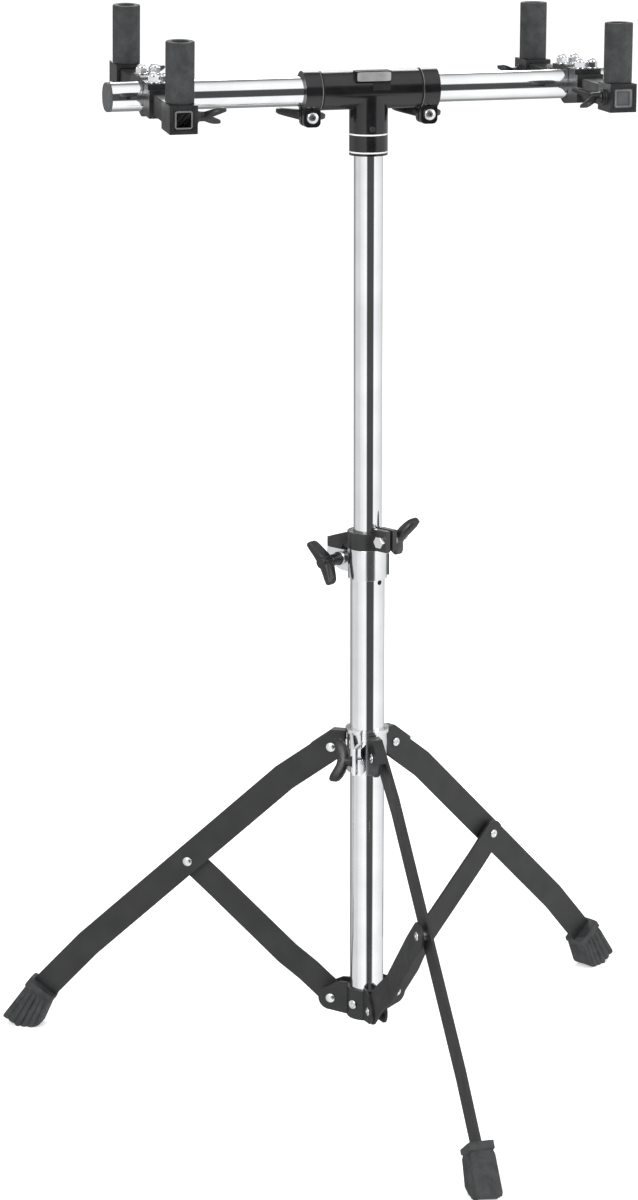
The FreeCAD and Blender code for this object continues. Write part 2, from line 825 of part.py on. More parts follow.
def fork_outline():
    """The short second cheek of the leg's forked head."""
    pivot = collar_pivot()
    upper, lower = leg_edges()
    along = leg_centreline()[1]
    half = size("leg_half_depth")
    reach = size("fork_along")
    top_end = along_line(pivot, along, reach, half)
    bottom_end = along_line(pivot, along, reach - 8.0, -half)
    middle = along_line(pivot, along, reach + 3.0, -2.0)
    start = [(size("leg_head_inner"), size("leg_head_top")), upper[0], top_end]
    return start + [(middle, bottom_end), lower[0]] + head_end()


def web_outline():
    """The strip that joins the two cheeks along the top of the head."""
    pivot = collar_pivot()
    upper, lower = leg_edges()
    along = leg_centreline()[1]
    half, reach, thickness = size("leg_half_depth"), size("fork_along"), size("leg_thickness")
    top, inner = size("leg_head_top"), size("leg_head_inner")
    outside = [(inner, top), upper[0], along_line(pivot, along, reach, half)]
    inside_corner = offset_line(outside, -thickness)
    return outside + inside_corner[::-1]


def make_leg(name):
    prefix = name + "_leg_"
    thickness, face = cell("leg_thickness"), cell("leg_face")
    blade = plate(prefix + "blade", leg_outline(), thickness, face)
    cheek = plate(prefix + "cheek", fork_outline(), thickness, "-%s + %s" % (face, thickness))
    web = plate(prefix + "web", web_outline(), "2 * " + face, face)
    pivot_hole = cross_hole(prefix + "pivot_hole", loose(cell("rivet_radius")), *collar_pivot())
    knee_hole = cross_hole(prefix + "knee_hole", cell("rivet_radius"), *knee_pivot())
    body = cut(prefix + "body", fuse(prefix + "raw", blade, cheek, web), pivot_hole, knee_hole)
    sub_part(body, name + "_leg", turned(LEG_DIRECTIONS[name]))


def foot_outline():
    """A rubber boot, seen from the side: square to the leg above, flat on the floor below."""
    reach = size("foot_reach")
    radius = size("foot_heel_radius")
    heel = (reach - 38.0, radius)
    return [
        (reach - 63.0, 36.0),
        (reach - 55.0, 21.0),
        on_circle(heel, radius, 202.0),
        (on_circle(heel, radius, 236.0), on_circle(heel, radius, 270.0)),
        (reach - 18.0, 0.0),
        (reach, 12.5),
        (reach - 27.5, 52.5),
        (reach - 36.5, 58.0),
    ]


def make_foot(name):
    prefix = name + "_foot_"
    width = cell("foot_width")
    # the boot is centred on the leg's blade
    centre = cell("leg_face") + " - " + cell("leg_thickness") + " / 2"
    boot = plate(prefix + "boot", foot_outline(), width, "%s / 2 + %s" % (width, centre))
    slot = plate(prefix + "slot", leg_outline(), cell("leg_thickness"), cell("leg_face"))
    sub_part(cut(prefix + "body", boot, slot), name + "_foot", turned(LEG_DIRECTIONS[name]))


def make_knee_rivet(name):
    """The leg's half of the knee rivet: a domed head, a shank and a spacer."""
    x, z = knee_pivot()
    face = size("leg_face")
    prefix = name + "_knee_"
    head = doc.addObject("Part::Cone", prefix + "head")
    bind(head, Radius1=cell("rivet_head_radius"), Radius2=cell("rivet_head_radius") + " * 0.55")
    bind(head, Height=cell("rivet_head_height"))
    head.Placement = Placement(Vector(x, face, z), Rotation(Vector(0, 0, 1), Vector(0, 1, 0)))
    shank = cylinder(
        prefix + "shank", cell("rivet_radius"), cell("leg_thickness"), (x, face, z), (0, -1, 0)
    )
    brace_face = size("brace_knee_offset") + size("brace_thickness") / 2 + size("moving_gap")
    inner_face = face - size("leg_thickness")
    spacer_base = (x, inner_face, z)
    spacer = cylinder(prefix + "spacer", "5", str(inner_face - brace_face), spacer_base, (0, -1, 0))
    rivet = fuse(prefix + "rivet_body", head, shank, spacer)
    sub_part(rivet, name + "_knee_rivet", turned(LEG_DIRECTIONS[name]))


def brace_side():
    """A brace from the side, lying along X from its base pivot, with two round ends."""
    half, length = size("brace_half_depth"), knee_distance()
    return [
        (0.0, half),
        ((-half, 0.0), (0.0, -half)),
        (length, -half),
        ((length + half, 0.0), (length, half)),
    ]


def brace_path():
    """How the brace weaves sideways: past the hub's cheeks, then over to the leg's knee."""
    base, bow, knee = size("brace_base_offset"), size("brace_bow_offset"), size("brace_knee_offset")
    return [(-20.0, base), (36.0, base), (64.0, bow), (172.0, knee), (knee_distance() + 20.0, knee)]


def make_brace(name):
    prefix = name + "_brace_"
    half_thickness = size("brace_thickness") / 2
    side = plate(prefix + "side", brace_side(), str(THROUGH), str(THROUGH / 2))
    path = brace_path()
    outline = offset_line(path, half_thickness) + offset_line(path, -half_thickness)[::-1]
    edge = plate(prefix + "edge", outline, str(THROUGH), str(THROUGH / 2))
    # the weave is drawn in XZ, then laid over into XY
    edge.Placement = Placement(Vector(), Rotation(Vector(1, 0, 0), -90))
    knee_hole = cross_hole(prefix + "knee_hole", cell("rivet_radius"), knee_distance(), 0)
    base_hole = cross_hole(prefix + "base_hole", loose(cell("rivet_radius")), 0, 0)
    body = cut(prefix + "body", common(prefix + "flat", side, edge), knee_hole, base_hole)
    sub_part(body, name + "_brace", turned(LEG_DIRECTIONS[name]), brace_place())


def brace_place():
    """From the brace's own frame to the leg's plane."""
    x, z = base_pivot()
    knee_x, knee_z = knee_pivot()
    slope = math.degrees(math.atan2(knee_z - z, knee_x - x))
    return Placement(Vector(x, 0, z), Rotation(Vector(0, 1, 0), -slope))


def make_knee_cap(name):
    """The brace's half of the knee rivet: a spread ring on a stub."""
    prefix = name + "_cap_"
    face = size("brace_knee_offset") - size("brace_thickness") / 2
    x = knee_distance()
    stub = cylinder(prefix + "stub", cell("rivet_radius"), cell("brace_thickness"), (x, face, 0), (0, 1, 0))
    ring_height = cell("rivet_ring_height")
    ring = cylinder(prefix + "ring", cell("rivet_ring_radius"), ring_height, (x, face, 0), (0, -1, 0))
    dimple = cylinder(prefix + "dimple", "2", "1.2", (x, face - size("rivet_ring_height"), 0), (0, 1, 0))
    cap = cut(prefix + "cap", fuse(prefix + "body", stub, ring), dimple)
    sub_part(cap, name + "_knee_cap", turned(LEG_DIRECTIONS[name]), brace_place())


def make_brace_pivot_rivets():
    ccw = size("cheek_inner_ccw") + size("cheek_thickness")
    cw = -size("cheek_inner_cw") - size("cheek_thickness")
    rivets = []
    for name, direction in LEG_DIRECTIONS.items():
        rivet = pivot_rivet(name + "_base_rivet", base_pivot(), ccw, cw)
        rivets.append(moved(rivet, turned(direction)))
    sub_part(group("base_rivet_set", *rivets), "brace_pivot_rivets")


# ---------------------------------------------------------------------------
# Pole, T head and crossbar
# ---------------------------------------------------------------------------
def at_bar(x=0.0):
    return Placement(Vector(x, 0, size("bar_height")), Rotation())


def make_upper_pole():
    radius = half_of("pole_diameter")
    length = cell("pole_top") + " - " + cell("pole_bottom")
    inside = radius + " - " + cell("pole_wall")
    sub_part(tube("pole_wall_tube", radius, inside, length, (0, 0, size("pole_bottom"))), "upper_pole")


def head_ear_outline(x0, x1):
    """An ear under the sleeve from the front, with rounded lower corners."""
    top, bottom, corner = -size("head_ear_top_drop"), -size("head_ear_drop"), size("head_ear_corner")
    left, right = (x0 + corner, bottom + corner), (x1 - corner, bottom + corner)
    return [
        (x0, top),
        (x0, bottom + corner),
        (on_circle(left, corner, 225.0), on_circle(left, corner, 270.0)),
        (x1 - corner, bottom),
        (on_circle(right, corner, 315.0), on_circle(right, corner, 0.0)),
        (x1, top),
    ]


def head_ear_face():
    """How far the outer face of a head's ear stands from the bars' upright plane."""
    return size("head_ear_thickness") + size("head_ear_slot") / 2


def make_t_head():
    """A casting: a socket on the pole and a sleeve for the bars, split into a clamp at each end."""
    half_length, radius = size("head_half_length"), size("head_radius")
    drop = size("bar_height") - size("head_bottom")
    ring_width, slot, slit = size("head_ring_width"), size("head_ear_slot"), size("head_slit")
    socket = cylinder("head_socket", cell("head_radius"), str(drop - radius / 4), (0, 0, -drop))
    sleeve_length = cell("head_half_length") + " * 2"
    sleeve = cylinder("head_sleeve", cell("head_radius"), sleeve_length, (-half_length, 0, 0), (1, 0, 0))
    pad_proud = size("head_pad_proud")
    pad_corner = (
        -size("head_pad_length") / 2, -radius - pad_proud, radius + pad_proud - size("head_pad_height")
    )
    pad = box(
        "head_pad", cell("head_pad_length"), cell("head_pad_depth"), cell("head_pad_height"), pad_corner
    )
    pieces = [socket, sleeve, pad]
    bore_start = -half_length - OVERLAP
    bar_bore = cylinder(
        "head_bar_bore", loose(half_of("pole_diameter")), str(-2 * bore_start), (bore_start, 0, 0), (
            1, 0, 0
        )
    )
    pole_depth = size("pole_top") - size("head_bottom")
    pole_bore = cylinder("head_pole_bore", half_of("pole_diameter"), str(pole_depth), (0, 0, -drop))
    tools = [bar_bore, pole_bore]
    ear_depth = str(2 * head_ear_face())
    slit_bottom = -size("head_slit_top_drop")
    for side, sign in (("left", -1), ("right", 1)):
        inner = half_length - ring_width
        x0 = inner if sign > 0 else -half_length
        ring = cylinder(
            "head_ring_" + side, cell("head_ring_radius"), cell("head_ring_width"), (x0, 0, 0), (1, 0, 0)
        )
        ears = plate(
            "head_ears_" + side, head_ear_outline(x0, x0 + ring_width), ear_depth, str(head_ear_face())
        )
        pieces += [ring, ears]
        slot_height = str(size("head_ear_drop") + 2 * OVERLAP)
        slot_corner = (x0, -slot / 2, -size("head_ear_drop") - OVERLAP)
        tools.append(
            box("head_slot_" + side, cell("head_ring_width"), cell("head_ear_slot"), slot_height, slot_corner),
        )
        slit_corner = (inner - slit if sign > 0 else -inner, -THROUGH / 2, slit_bottom)
        slit_height = str(-slit_bottom + radius / 3)
        tools.append(box("head_slit_" + side, cell("head_slit"), str(THROUGH), slit_height, slit_corner))
        middle = sign * (half_length - ring_width / 2)
        hole = cross_hole("head_bolt_hole_" + side, cell("screw_radius"), middle, -size("head_bolt_drop"))
        tools.append(hole)
    sub_part(cut("t_head_body", fuse("t_head_raw", *pieces), *tools), "t_head", at_bar())


def make_bar_clamp_bolts():
    bolts = []
    face = head_ear_face()
    for side, sign in (("left", -1), ("right", 1)):
        x = sign * (size("head_half_length") - size("head_ring_width") / 2)
        start = (x, -face, -size("head_bolt_drop"))
        head_radius, head_height = cell("head_bolt_head_radius"), cell("head_bolt_head_height")
        head = cylinder(side + "_clamp_bolt_head", head_radius, head_height, start, (0, -1, 0))
        shank = cylinder(
            side + "_clamp_bolt_shank", cell("screw_radius"), cell("head_bolt_shank"), start, (0, 1, 0)
        )
        bolts.append(fuse(side + "_clamp_bolt", head, shank))
    sub_part(group("bar_clamp_bolt_set", *bolts), "bar_clamp_bolts", at_bar())


def make_bar_wing_nut(side, sign):
    start = head_ear_face() + size("moving_gap")
    bore = size("screw_radius") + size("running_gap")
    nut = wing(side + "_bar_wing", 6.0, 16.0, 24.5, 10.0, bore=bore)
    x = sign * (size("head_half_length") - size("head_ring_width") / 2)
    place = Placement(Vector(x, start, -size("head_bolt_drop")), Rotation(Vector(0, 0, 1), Vector(0, 1, 0)))
    sub_part(nut, side + "_bar_wing_nut", at_bar(), place, wing_turn("bar"))


def make_bar(side, sign):
    """One half of the crossbar and the plug in its outer end."""
    radius = half_of("pole_diameter")
    length = cell("bar_outer_end") + " - " + cell("bar_inner_end")
    inside = radius + " - " + cell("pole_wall")
    base = (sign * size("bar_inner_end"), 0, 0)
    sub_part(tube(side + "_bar_wall", radius, inside, length, base, (sign, 0, 0)), side + "_bar", at_bar())
    start = (sign * size("bar_outer_end"), 0, 0)
    disc = cylinder(side + "_plug_disc", radius, cell("bar_plug_length"), start, (sign, 0, 0))
    stem = cylinder(side + "_plug_stem", inside, cell("bar_plug_stem"), start, (-sign, 0, 0))
    sub_part(fuse(side + "_plug_body", disc, stem), side + "_bar_plug", at_bar())


# ---------------------------------------------------------------------------
# Cross arms and posts
# ---------------------------------------------------------------------------
def arm_place(side, sign):
    """The arm's own frame: origin on the bar's axis, tilted about the bar."""
    tilt = size(side + "_arm_tilt")
    return Placement(
        Vector(sign * size("arm_centre"), 0, size("bar_height")), Rotation(Vector(1, 0, 0), tilt)
    )


ARM_ENDS = (("front", -1), ("rear", 1))


def arm_bolt_spots(direction):
    """Where one end's two screws stand, in the arm's own frame."""
    y = direction * size("arm_bolt_y")
    return [(-size("arm_bolt_x"), y), (size("arm_bolt_x"), y)]


def from_to(first, second, direction):
    """The lower of two distances along Y, once they are laid off in a direction."""
    return first if direction > 0 else -second


def arm_bore(name):
    return cylinder(name, loose(half_of("pole_diameter")), str(THROUGH), (-THROUGH / 2, 0, 0), (1, 0, 0))


def make_arm_clamp(side, sign):
    """The lower half of a cross arm's clamp: a half ring under the bar and a socket for each rail."""
    prefix = side + "_arm_"
    width, rail, drop = size("carriage_width"), size("rail_size"), size("rail_drop")
    low, seat = -drop - width / 2, size("saddle_seat")
    ring_length, ring_radius = size("arm_ring_length"), size("arm_ring_radius")
    ring = cylinder(
        prefix + "ring", cell("arm_ring_radius"), cell("arm_ring_length"), (-ring_length / 2, 0, 0), (
            1, 0, 0
        )
    )
    above_corner = (-ring_length, -ring_radius, size("arm_ring_top"))
    above = box(
        prefix + "above", str(2 * ring_length), str(2 * ring_radius), str(ring_radius), above_corner
    )
    pieces = [cut(prefix + "half_ring", ring, above)]
    tools = [arm_bore(prefix + "bore")]
    inner, outer, start = size("arm_socket_inner"), size("arm_socket_outer"), size("rail_start")
    for end, direction in ARM_ENDS:
        corner = (-width / 2, from_to(inner, outer, direction), low)
        socket = box(
            prefix + end + "_socket", cell("carriage_width"), str(outer - inner), str(seat - low), corner
        )
        pieces.append(socket)
        pocket_corner = (-rail / 2, from_to(start, start + THROUGH, direction), -drop - rail / 2)
        tools.append(
            box(prefix + end + "_pocket", cell("rail_size"), str(THROUGH), cell("rail_size"), pocket_corner)
        )
        for number, (x, y) in enumerate(arm_bolt_spots(direction)):
            name = "%s%s_hole_%d" % (prefix, end, number)
            hole_base = (x, y, size("arm_bolt_shank_bottom"))
            tools.append(cylinder(name, cell("screw_radius"), cell("saddle_seat"), hole_base))
    sub_part(
        cut(prefix + "clamp_body", fuse(prefix + "clamp_raw", *pieces), *tools),
        side + "_arm_clamp",
        arm_place(side, sign),
    )


def make_arm_saddle(side, sign):
    """The cap that holds the arm on the bar."""
    prefix = side + "_saddle_"
    length, width, seat = size("saddle_length"), size("carriage_width"), size("saddle_seat")
    arch = cylinder(
        prefix + "arch", cell("saddle_radius"), cell("saddle_length"), (-length / 2, 0, 0), (1, 0, 0)
    )
    flange_length = size("saddle_flange_length")
    flange_height = cell("saddle_top") + " - " + cell("saddle_seat")
    flange_corner = (-width / 2, -flange_length / 2, seat)
    flange = box(
        prefix + "flange",
        cell("carriage_width"),
        cell("saddle_flange_length"),
        flange_height,
        flange_corner,
    )
    below_corner = (-THROUGH / 2, -THROUGH / 2, size("saddle_gap") - THROUGH)
    below = box(prefix + "below", str(THROUGH), str(THROUGH), str(THROUGH), below_corner)
    tools = [arm_bore(prefix + "bore"), below]
    # the arch keeps clear of the sockets under its flange
    inner = size("arm_socket_inner") - size("running_gap")
    relief = size("saddle_radius")
    for end, direction in ARM_ENDS:
        corner = (-length, from_to(inner, inner + relief, direction), seat - THROUGH / 2)
        tools.append(box(prefix + end + "_relief", str(2 * length), str(relief), str(THROUGH / 2), corner))
        for number, (x, y) in enumerate(arm_bolt_spots(direction)):
            name = "%s%s_hole_%d" % (prefix, end, number)
            tools.append(cylinder(name, cell("screw_radius"), cell("saddle_top"), (x, y, seat - OVERLAP)))
    sub_part(
        cut(prefix + "body", fuse(prefix + "raw", arch, flange), *tools),
        side + "_arm_saddle",
        arm_place(side, sign),
    )


def make_arm_bolts(side, sign):
    """Four socket-head screws with washers."""
    screws = []
    top, bottom = size("saddle_top"), size("arm_bolt_shank_bottom")
    head_bottom = top + size("washer_height")
    socket_bottom = head_bottom + size("arm_bolt_head_height") - size("arm_bolt_socket_depth")
    spots = arm_bolt_spots(-1) + arm_bolt_spots(1)
    for number, (x, y) in enumerate(spots):
        name = "%s_arm_screw_%d" % (side, number)
        washer = cylinder(name + "_washer", cell("arm_washer_radius"), cell("washer_height"), (x, y, top))
        head = cylinder(
            name + "_head", cell("arm_bolt_head_radius"), cell("arm_bolt_head_height"), (x, y, head_bottom)
        )
        shank = cylinder(name + "_shank", cell("screw_radius"), str(top - bottom), (x, y, bottom))
        socket_radius = cell("arm_bolt_socket_radius")
        socket = cylinder(
            name + "_socket", socket_radius, cell("arm_bolt_socket_depth"), (x, y, socket_bottom)
        )
        screws.append(cut(name, fuse(name + "_body", washer, head, shank), socket))
    sub_part(group(side + "_arm_screw_set", *screws), side + "_arm_bolts", arm_place(side, sign))


def post_reach(side, end):
    """How far a post stands from the bar's axis."""
    return size("%s_%s_reach" % (side, end))


def rail_end(side, end):
    """How far a rail reaches from the bar: flush with the carriage's outer face."""
    return post_reach(side, end) + size("carriage_length") / 2


def make_arm_rails(side, sign):
    rails, plugs = [], []
    rail, wall, start = size("rail_size"), size("rail_wall"), size("rail_start")
    recess, plug_length = size("rail_plug_recess"), size("rail_plug_length")
    hollow = "%s - 2 * %s" % (cell("rail_size"), cell("rail_wall"))
    low = -size("rail_drop") - rail / 2
    for end, direction in ARM_ENDS:
        name = "%s_%s_rail" % (side, end)
        far = rail_end(side, end)
        length = far - start
        y = from_to(start, far, direction)
        outside = box(
            name + "_outside", cell("rail_size"), str(length), cell("rail_size"), (-rail / 2, y, low)
        )
        inner_corner = (wall - rail / 2, y - OVERLAP, low + wall)
        inside = box(name + "_inside", hollow, str(length + 2 * OVERLAP), hollow, inner_corner)
        rails.append(cut(name, outside, inside))
        plug_y = from_to(far - recess - plug_length, far - recess, direction)
        plug_corner = (inner_corner[0], plug_y, inner_corner[2])
        plugs.append(box(name + "_plug", hollow, cell("rail_plug_length"), hollow, plug_corner))
    sub_part(group(side + "_rail_set", *rails), side + "_arm_rails", arm_place(side, sign))
    sub_part(group(side + "_rail_plug_set", *plugs), side + "_rail_plugs", arm_place(side, sign))


def post_place(side, sign, end):
    direction = -1 if end == "front" else 1
    shift = Vector(0, direction * post_reach(side, end), -size("rail_drop"))
    return arm_place(side, sign).multiply(Placement(shift, Rotation()))


def make_carriage(side, sign, end):
    """A block that slides on the rail, with a stud for the rubber post."""
    prefix = "%s_%s_" % (end, side)
    width, length = size("carriage_width"), size("carriage_length")
    block_corner = (-width / 2, -length / 2, -width / 2)
    block = box(
        prefix + "block",
        cell("carriage_width"),
        cell("carriage_length"),
        cell("carriage_width"),
        block_corner,
    )
    hole_side = size("rail_size") + 2 * size("running_gap")
    hole_size = "%s + 2 * %s" % (cell("rail_size"), cell("running_gap"))
    hole_corner = (-hole_side / 2, -length, -hole_side / 2)
    hole = box(prefix + "rail_hole", hole_size, cell("carriage_length") + " * 2", hole_size, hole_corner)
    # the clamping screw comes from the side that faces the pole
    inward = -sign
    face = inward * (width / 2 - OVERLAP)
    boss_height = cell("carriage_boss_height") + " + %s" % OVERLAP
    boss = cylinder(
        prefix + "boss", cell("carriage_boss_radius"), boss_height, (face, 0, 0), (inward, 0, 0)
    )
    screw_hole_base = (inward * size("rail_size") / 4, 0, 0)
    screw_hole = cylinder(
        prefix + "screw_hole", loose(cell("screw_radius")), cell("rail_size"), screw_hole_base, (
            inward, 0, 0
        )
    )
    stud = cylinder(prefix + "stud", half_of("stud_diameter"), cell("stud_height"), (0, 0, width / 2))
    raw = fuse(prefix + "carriage_raw", block, boss, stud)
    body = cut(prefix + "carriage_body", raw, hole, screw_hole)
    sub_part(body, "%s_%s_carriage" % (end, side), post_place(side, sign, end))


def make_post(side, sign, end):
    """A rubber sleeve over the stud, with an open counterbore at its top."""
    label = "%s_%s_post" % (end, side)
    seat = size("carriage_width") / 2
    outer, inner = half_of("post_diameter"), half_of("stud_diameter")
    sleeve = tube(label + "_sleeve", outer, inner, cell("post_height"), (0, 0, seat))
    mouth_base = (0, 0, seat + size("post_height") - size("post_bore_depth"))
    mouth = cylinder(label + "_mouth", half_of("post_bore_diameter"), cell("post_bore_depth"), mouth_base)
    sub_part(cut(label + "_body", sleeve, mouth), label, post_place(side, sign, end))


def make_post_wing_bolt(side, sign, end):
    start = size("carriage_width") / 2 + size("carriage_boss_height") + size("moving_gap")
    # the screw's tip stops just short of the rail
    reach = start - size("rail_size") / 2 - size("moving_gap")
    knob = wing("%s_%s_wing" % (end, side), 5.2, 12.0, 14.0, 10.0, shank=reach)
    inward = -sign
    place = Placement(Vector(inward * start, 0, 0), Rotation(Vector(0, 0, 1), Vector(inward, 0, 0)))
    sub_part(knob, "%s_%s_wing_bolt" % (end, side), post_place(side, sign, end), place, wing_turn(end))


# ---------------------------------------------------------------------------
# The whole stand
# ---------------------------------------------------------------------------
def make_stand():
    make_lower_tube()
    make_bottom_bracket()
    make_bracket_screws()
    make_brace_pivot_rivets()
    make_height_clamp()
    make_clamp_hardware()
    make_height_wing_bolt()
    make_pole_bush()
    make_memory_lock()
    make_memory_hardware()
    make_leg_collar()
    make_leg_pivot_rivets()
    make_collar_wing_bolt()
    for name in LEG_DIRECTIONS:
        make_leg(name)
        make_foot(name)
        make_knee_rivet(name)
        make_brace(name)
        make_knee_cap(name)
    make_upper_pole()
    make_t_head()
    make_bar_clamp_bolts()
    for side, sign in (("left", -1), ("right", 1)):
        make_bar_wing_nut(side, sign)
        make_bar(side, sign)
        make_arm_clamp(side, sign)
        make_arm_saddle(side, sign)
        make_arm_bolts(side, sign)
        make_arm_rails(side, sign)
        for end in ("front", "rear"):
            make_carriage(side, sign, end)
            make_post(side, sign, end)
            make_post_wing_bolt(side, sign, end)


def check_document():
    """Stop if any object failed to compute or any piece is not a sound solid."""
    for thing in doc.Objects:
        if "Invalid" in thing.State or "Error" in thing.State:
            raise RuntimeError("%s: %s" % (thing.Name, thing.State))
    for piece in sub_parts:
        if piece.Shape.isNull() or not piece.Shape.isValid() or not piece.Shape.Solids:
            raise RuntimeError("%s is not a sound solid" % piece.Label)


def export_pieces():
    os.makedirs("parts", exist_ok=True)
    for piece in sub_parts:
        piece.Shape.exportStep("parts/%s.step" % piece.Label)


make_stand()
doc.recompute()
check_document()
export_pieces()
print("%d sub-parts" % len(sub_parts))
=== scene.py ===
import json
import math

import bmesh
import bpy
from mathutils import Matrix, Vector

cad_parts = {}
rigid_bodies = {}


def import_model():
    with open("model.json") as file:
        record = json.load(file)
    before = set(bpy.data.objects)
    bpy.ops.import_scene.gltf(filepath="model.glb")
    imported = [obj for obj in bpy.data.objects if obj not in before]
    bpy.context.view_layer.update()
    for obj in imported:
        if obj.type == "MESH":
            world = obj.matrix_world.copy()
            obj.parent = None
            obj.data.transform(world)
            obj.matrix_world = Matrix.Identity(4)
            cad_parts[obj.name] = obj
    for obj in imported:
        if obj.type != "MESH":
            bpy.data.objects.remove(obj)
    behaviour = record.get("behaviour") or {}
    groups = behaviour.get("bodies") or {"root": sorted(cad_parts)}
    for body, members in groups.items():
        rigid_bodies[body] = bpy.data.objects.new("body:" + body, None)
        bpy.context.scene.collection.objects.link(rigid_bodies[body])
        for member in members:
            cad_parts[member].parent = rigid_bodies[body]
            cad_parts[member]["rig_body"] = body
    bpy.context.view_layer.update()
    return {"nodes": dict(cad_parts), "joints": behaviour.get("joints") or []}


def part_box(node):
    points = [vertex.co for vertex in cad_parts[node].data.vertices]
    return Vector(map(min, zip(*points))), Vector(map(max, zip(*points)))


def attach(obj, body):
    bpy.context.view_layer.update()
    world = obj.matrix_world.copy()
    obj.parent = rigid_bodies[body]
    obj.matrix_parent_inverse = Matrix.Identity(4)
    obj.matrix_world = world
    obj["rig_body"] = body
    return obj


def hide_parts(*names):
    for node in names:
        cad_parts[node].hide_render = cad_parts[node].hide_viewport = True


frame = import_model()

MM = 0.001
UP = Vector((0, 0, 1))
# below this radius, in metres, a revolved profile closes at a point
POLE_RADIUS = 1e-7
LEG_AZIMUTHS = {"front": 270.0, "right": 30.0, "left": 150.0}
SIDES = {"left": -1, "right": 1}
ENDS = ("front", "rear")
JOINTS = {joint["name"]: joint for joint in frame["joints"]}


# ---------------------------------------------------------------------------
# Materials
# ---------------------------------------------------------------------------
def new_material(name, **sockets):
    """A principled material; returns it with its node tree and shader."""
    material = bpy.data.materials.new(name)
    material.use_nodes = True
    tree = material.node_tree
    shader = tree.nodes["Principled BSDF"]
    for socket, value in sockets.items():
        shader.inputs[socket.replace("_", " ")].default_value = value
    return material, tree, shader


def noise(tree, scale, detail=3.0, roughness=0.55, stretch=(1, 1, 1)):
    """Noise in object space; returns its factor socket."""
    coordinates = tree.nodes.new("ShaderNodeTexCoord")
    mapping = tree.nodes.new("ShaderNodeMapping")
    mapping.inputs["Scale"].default_value = stretch
    texture = tree.nodes.new("ShaderNodeTexNoise")
    texture.inputs["Scale"].default_value = scale
    texture.inputs["Detail"].default_value = detail
    texture.inputs["Roughness"].default_value = roughness
    tree.links.new(coordinates.outputs["Object"], mapping.inputs["Vector"])
    tree.links.new(mapping.outputs["Vector"], texture.inputs["Vector"])
    return texture.outputs["Fac"]


def colour_between(tree, shader, factor, first, second, low=0.35, high=0.65):
    """Base colour that wanders between two colours."""
    ramp = tree.nodes.new("ShaderNodeValToRGB")
    ramp.color_ramp.elements[0].position = low
    ramp.color_ramp.elements[0].color = (*first, 1)
    ramp.color_ramp.elements[1].position = high
    ramp.color_ramp.elements[1].color = (*second, 1)
    tree.links.new(factor, ramp.inputs["Fac"])
    tree.links.new(ramp.outputs["Color"], shader.inputs["Base Color"])


def roughness_between(tree, shader, factor, first, second):
    """Roughness that wanders between two values."""
    spread = tree.nodes.new("ShaderNodeMapRange")
    spread.inputs["From Min"].default_value = 0.3
    spread.inputs["From Max"].default_value = 0.7
    spread.inputs["To Min"].default_value = first
    spread.inputs["To Max"].default_value = second
    tree.links.new(factor, spread.inputs["Value"])
    tree.links.new(spread.outputs["Result"], shader.inputs["Roughness"])


def bump(tree, shader, factor, strength, distance):
    """Fine relief."""
    relief = tree.nodes.new("ShaderNodeBump")
    relief.inputs["Strength"].default_value = strength
    relief.inputs["Distance"].default_value = distance
    tree.links.new(factor, relief.inputs["Height"])
    tree.links.new(relief.outputs["Normal"], shader.inputs["Normal"])


def plated_metal(name, first, second, smooth, worn, relief=0.05):
    """Chrome or zinc plating: slight haze, faint tint changes and a drawn grain."""
    material, tree, shader = new_material(name, Metallic=1.0)
    colour_between(tree, shader, noise(tree, 22.0), first, second)
    roughness_between(tree, shader, noise(tree, 60.0, detail=5.0, stretch=(1, 1, 0.12)), smooth, worn)
    bump(tree, shader, noise(tree, 320.0, stretch=(1, 1, 0.2)), relief, 0.0001)
    return material


def painted_metal(name, first, second, smooth, worn, grain, relief, coat=0.0):
    """Black paint or powder coat with its orange-peel texture."""
    material, tree, shader = new_material(name, Specular_IOR_Level=0.5, Coat_Weight=coat, Coat_Roughness=0.08)
    colour_between(tree, shader, noise(tree, 45.0, detail=4.0), first, second)
    roughness_between(tree, shader, noise(tree, 90.0, detail=4.0), smooth, worn)
    bump(tree, shader, noise(tree, grain, detail=2.0), relief, 0.0002)
    return material


def moulded(name, first, second, smooth, worn, grain, relief):
    """Rubber or plastic with a fine moulded grain and dusty patches."""
    material, tree, shader = new_material(name, Specular_IOR_Level=0.4)
    colour_between(tree, shader, noise(tree, 70.0, detail=6.0, roughness=0.7), first, second)
    roughness_between(tree, shader, noise(tree, 120.0, detail=4.0), smooth, worn)
    bump(tree, shader, noise(tree, grain, detail=3.0, roughness=0.7), relief, 0.0003)
    return material


CHROME = plated_metal("chrome_plate", (0.80, 0.81, 0.83), (0.90, 0.91, 0.92), 0.03, 0.10)
CAST_CHROME = plated_metal("cast_chrome", (0.76, 0.77, 0.79), (0.88, 0.89, 0.90), 0.08, 0.20, relief=0.25)
ZINC = plated_metal("zinc_plate", (0.70, 0.71, 0.73), (0.86, 0.86, 0.87), 0.16, 0.30, relief=0.2)
POWDER = painted_metal(
    "powder_coat", (0.009, 0.0095, 0.010), (0.017, 0.0175, 0.018),
    0.42, 0.58, 1500.0, 0.45,
)
GLOSS = painted_metal(
    "gloss_paint", (0.005, 0.005, 0.006), (0.009, 0.009, 0.010),
    0.13, 0.22, 900.0, 0.06, coat=0.12,
)
CAST_BLACK = painted_metal(
    "cast_paint", (0.012, 0.012, 0.013), (0.022, 0.022, 0.023),
    0.24, 0.38, 1100.0, 0.4,
)
# light grey painted as the reflection on the flat pad of the T head
PAD_REFLECTION = painted_metal("pad_painted_reflection", (0.16, 0.16, 0.16), (0.30, 0.30, 0.30), 0.5, 0.7, 1800.0, 0.9)
# light grey painted as the highlight along the outer edge of the T head's rings
EDGE_HIGHLIGHT = painted_metal("painted_edge_highlight", (0.10, 0.10, 0.105), (0.26, 0.26, 0.265), 0.3, 0.45, 1300.0, 0.3)
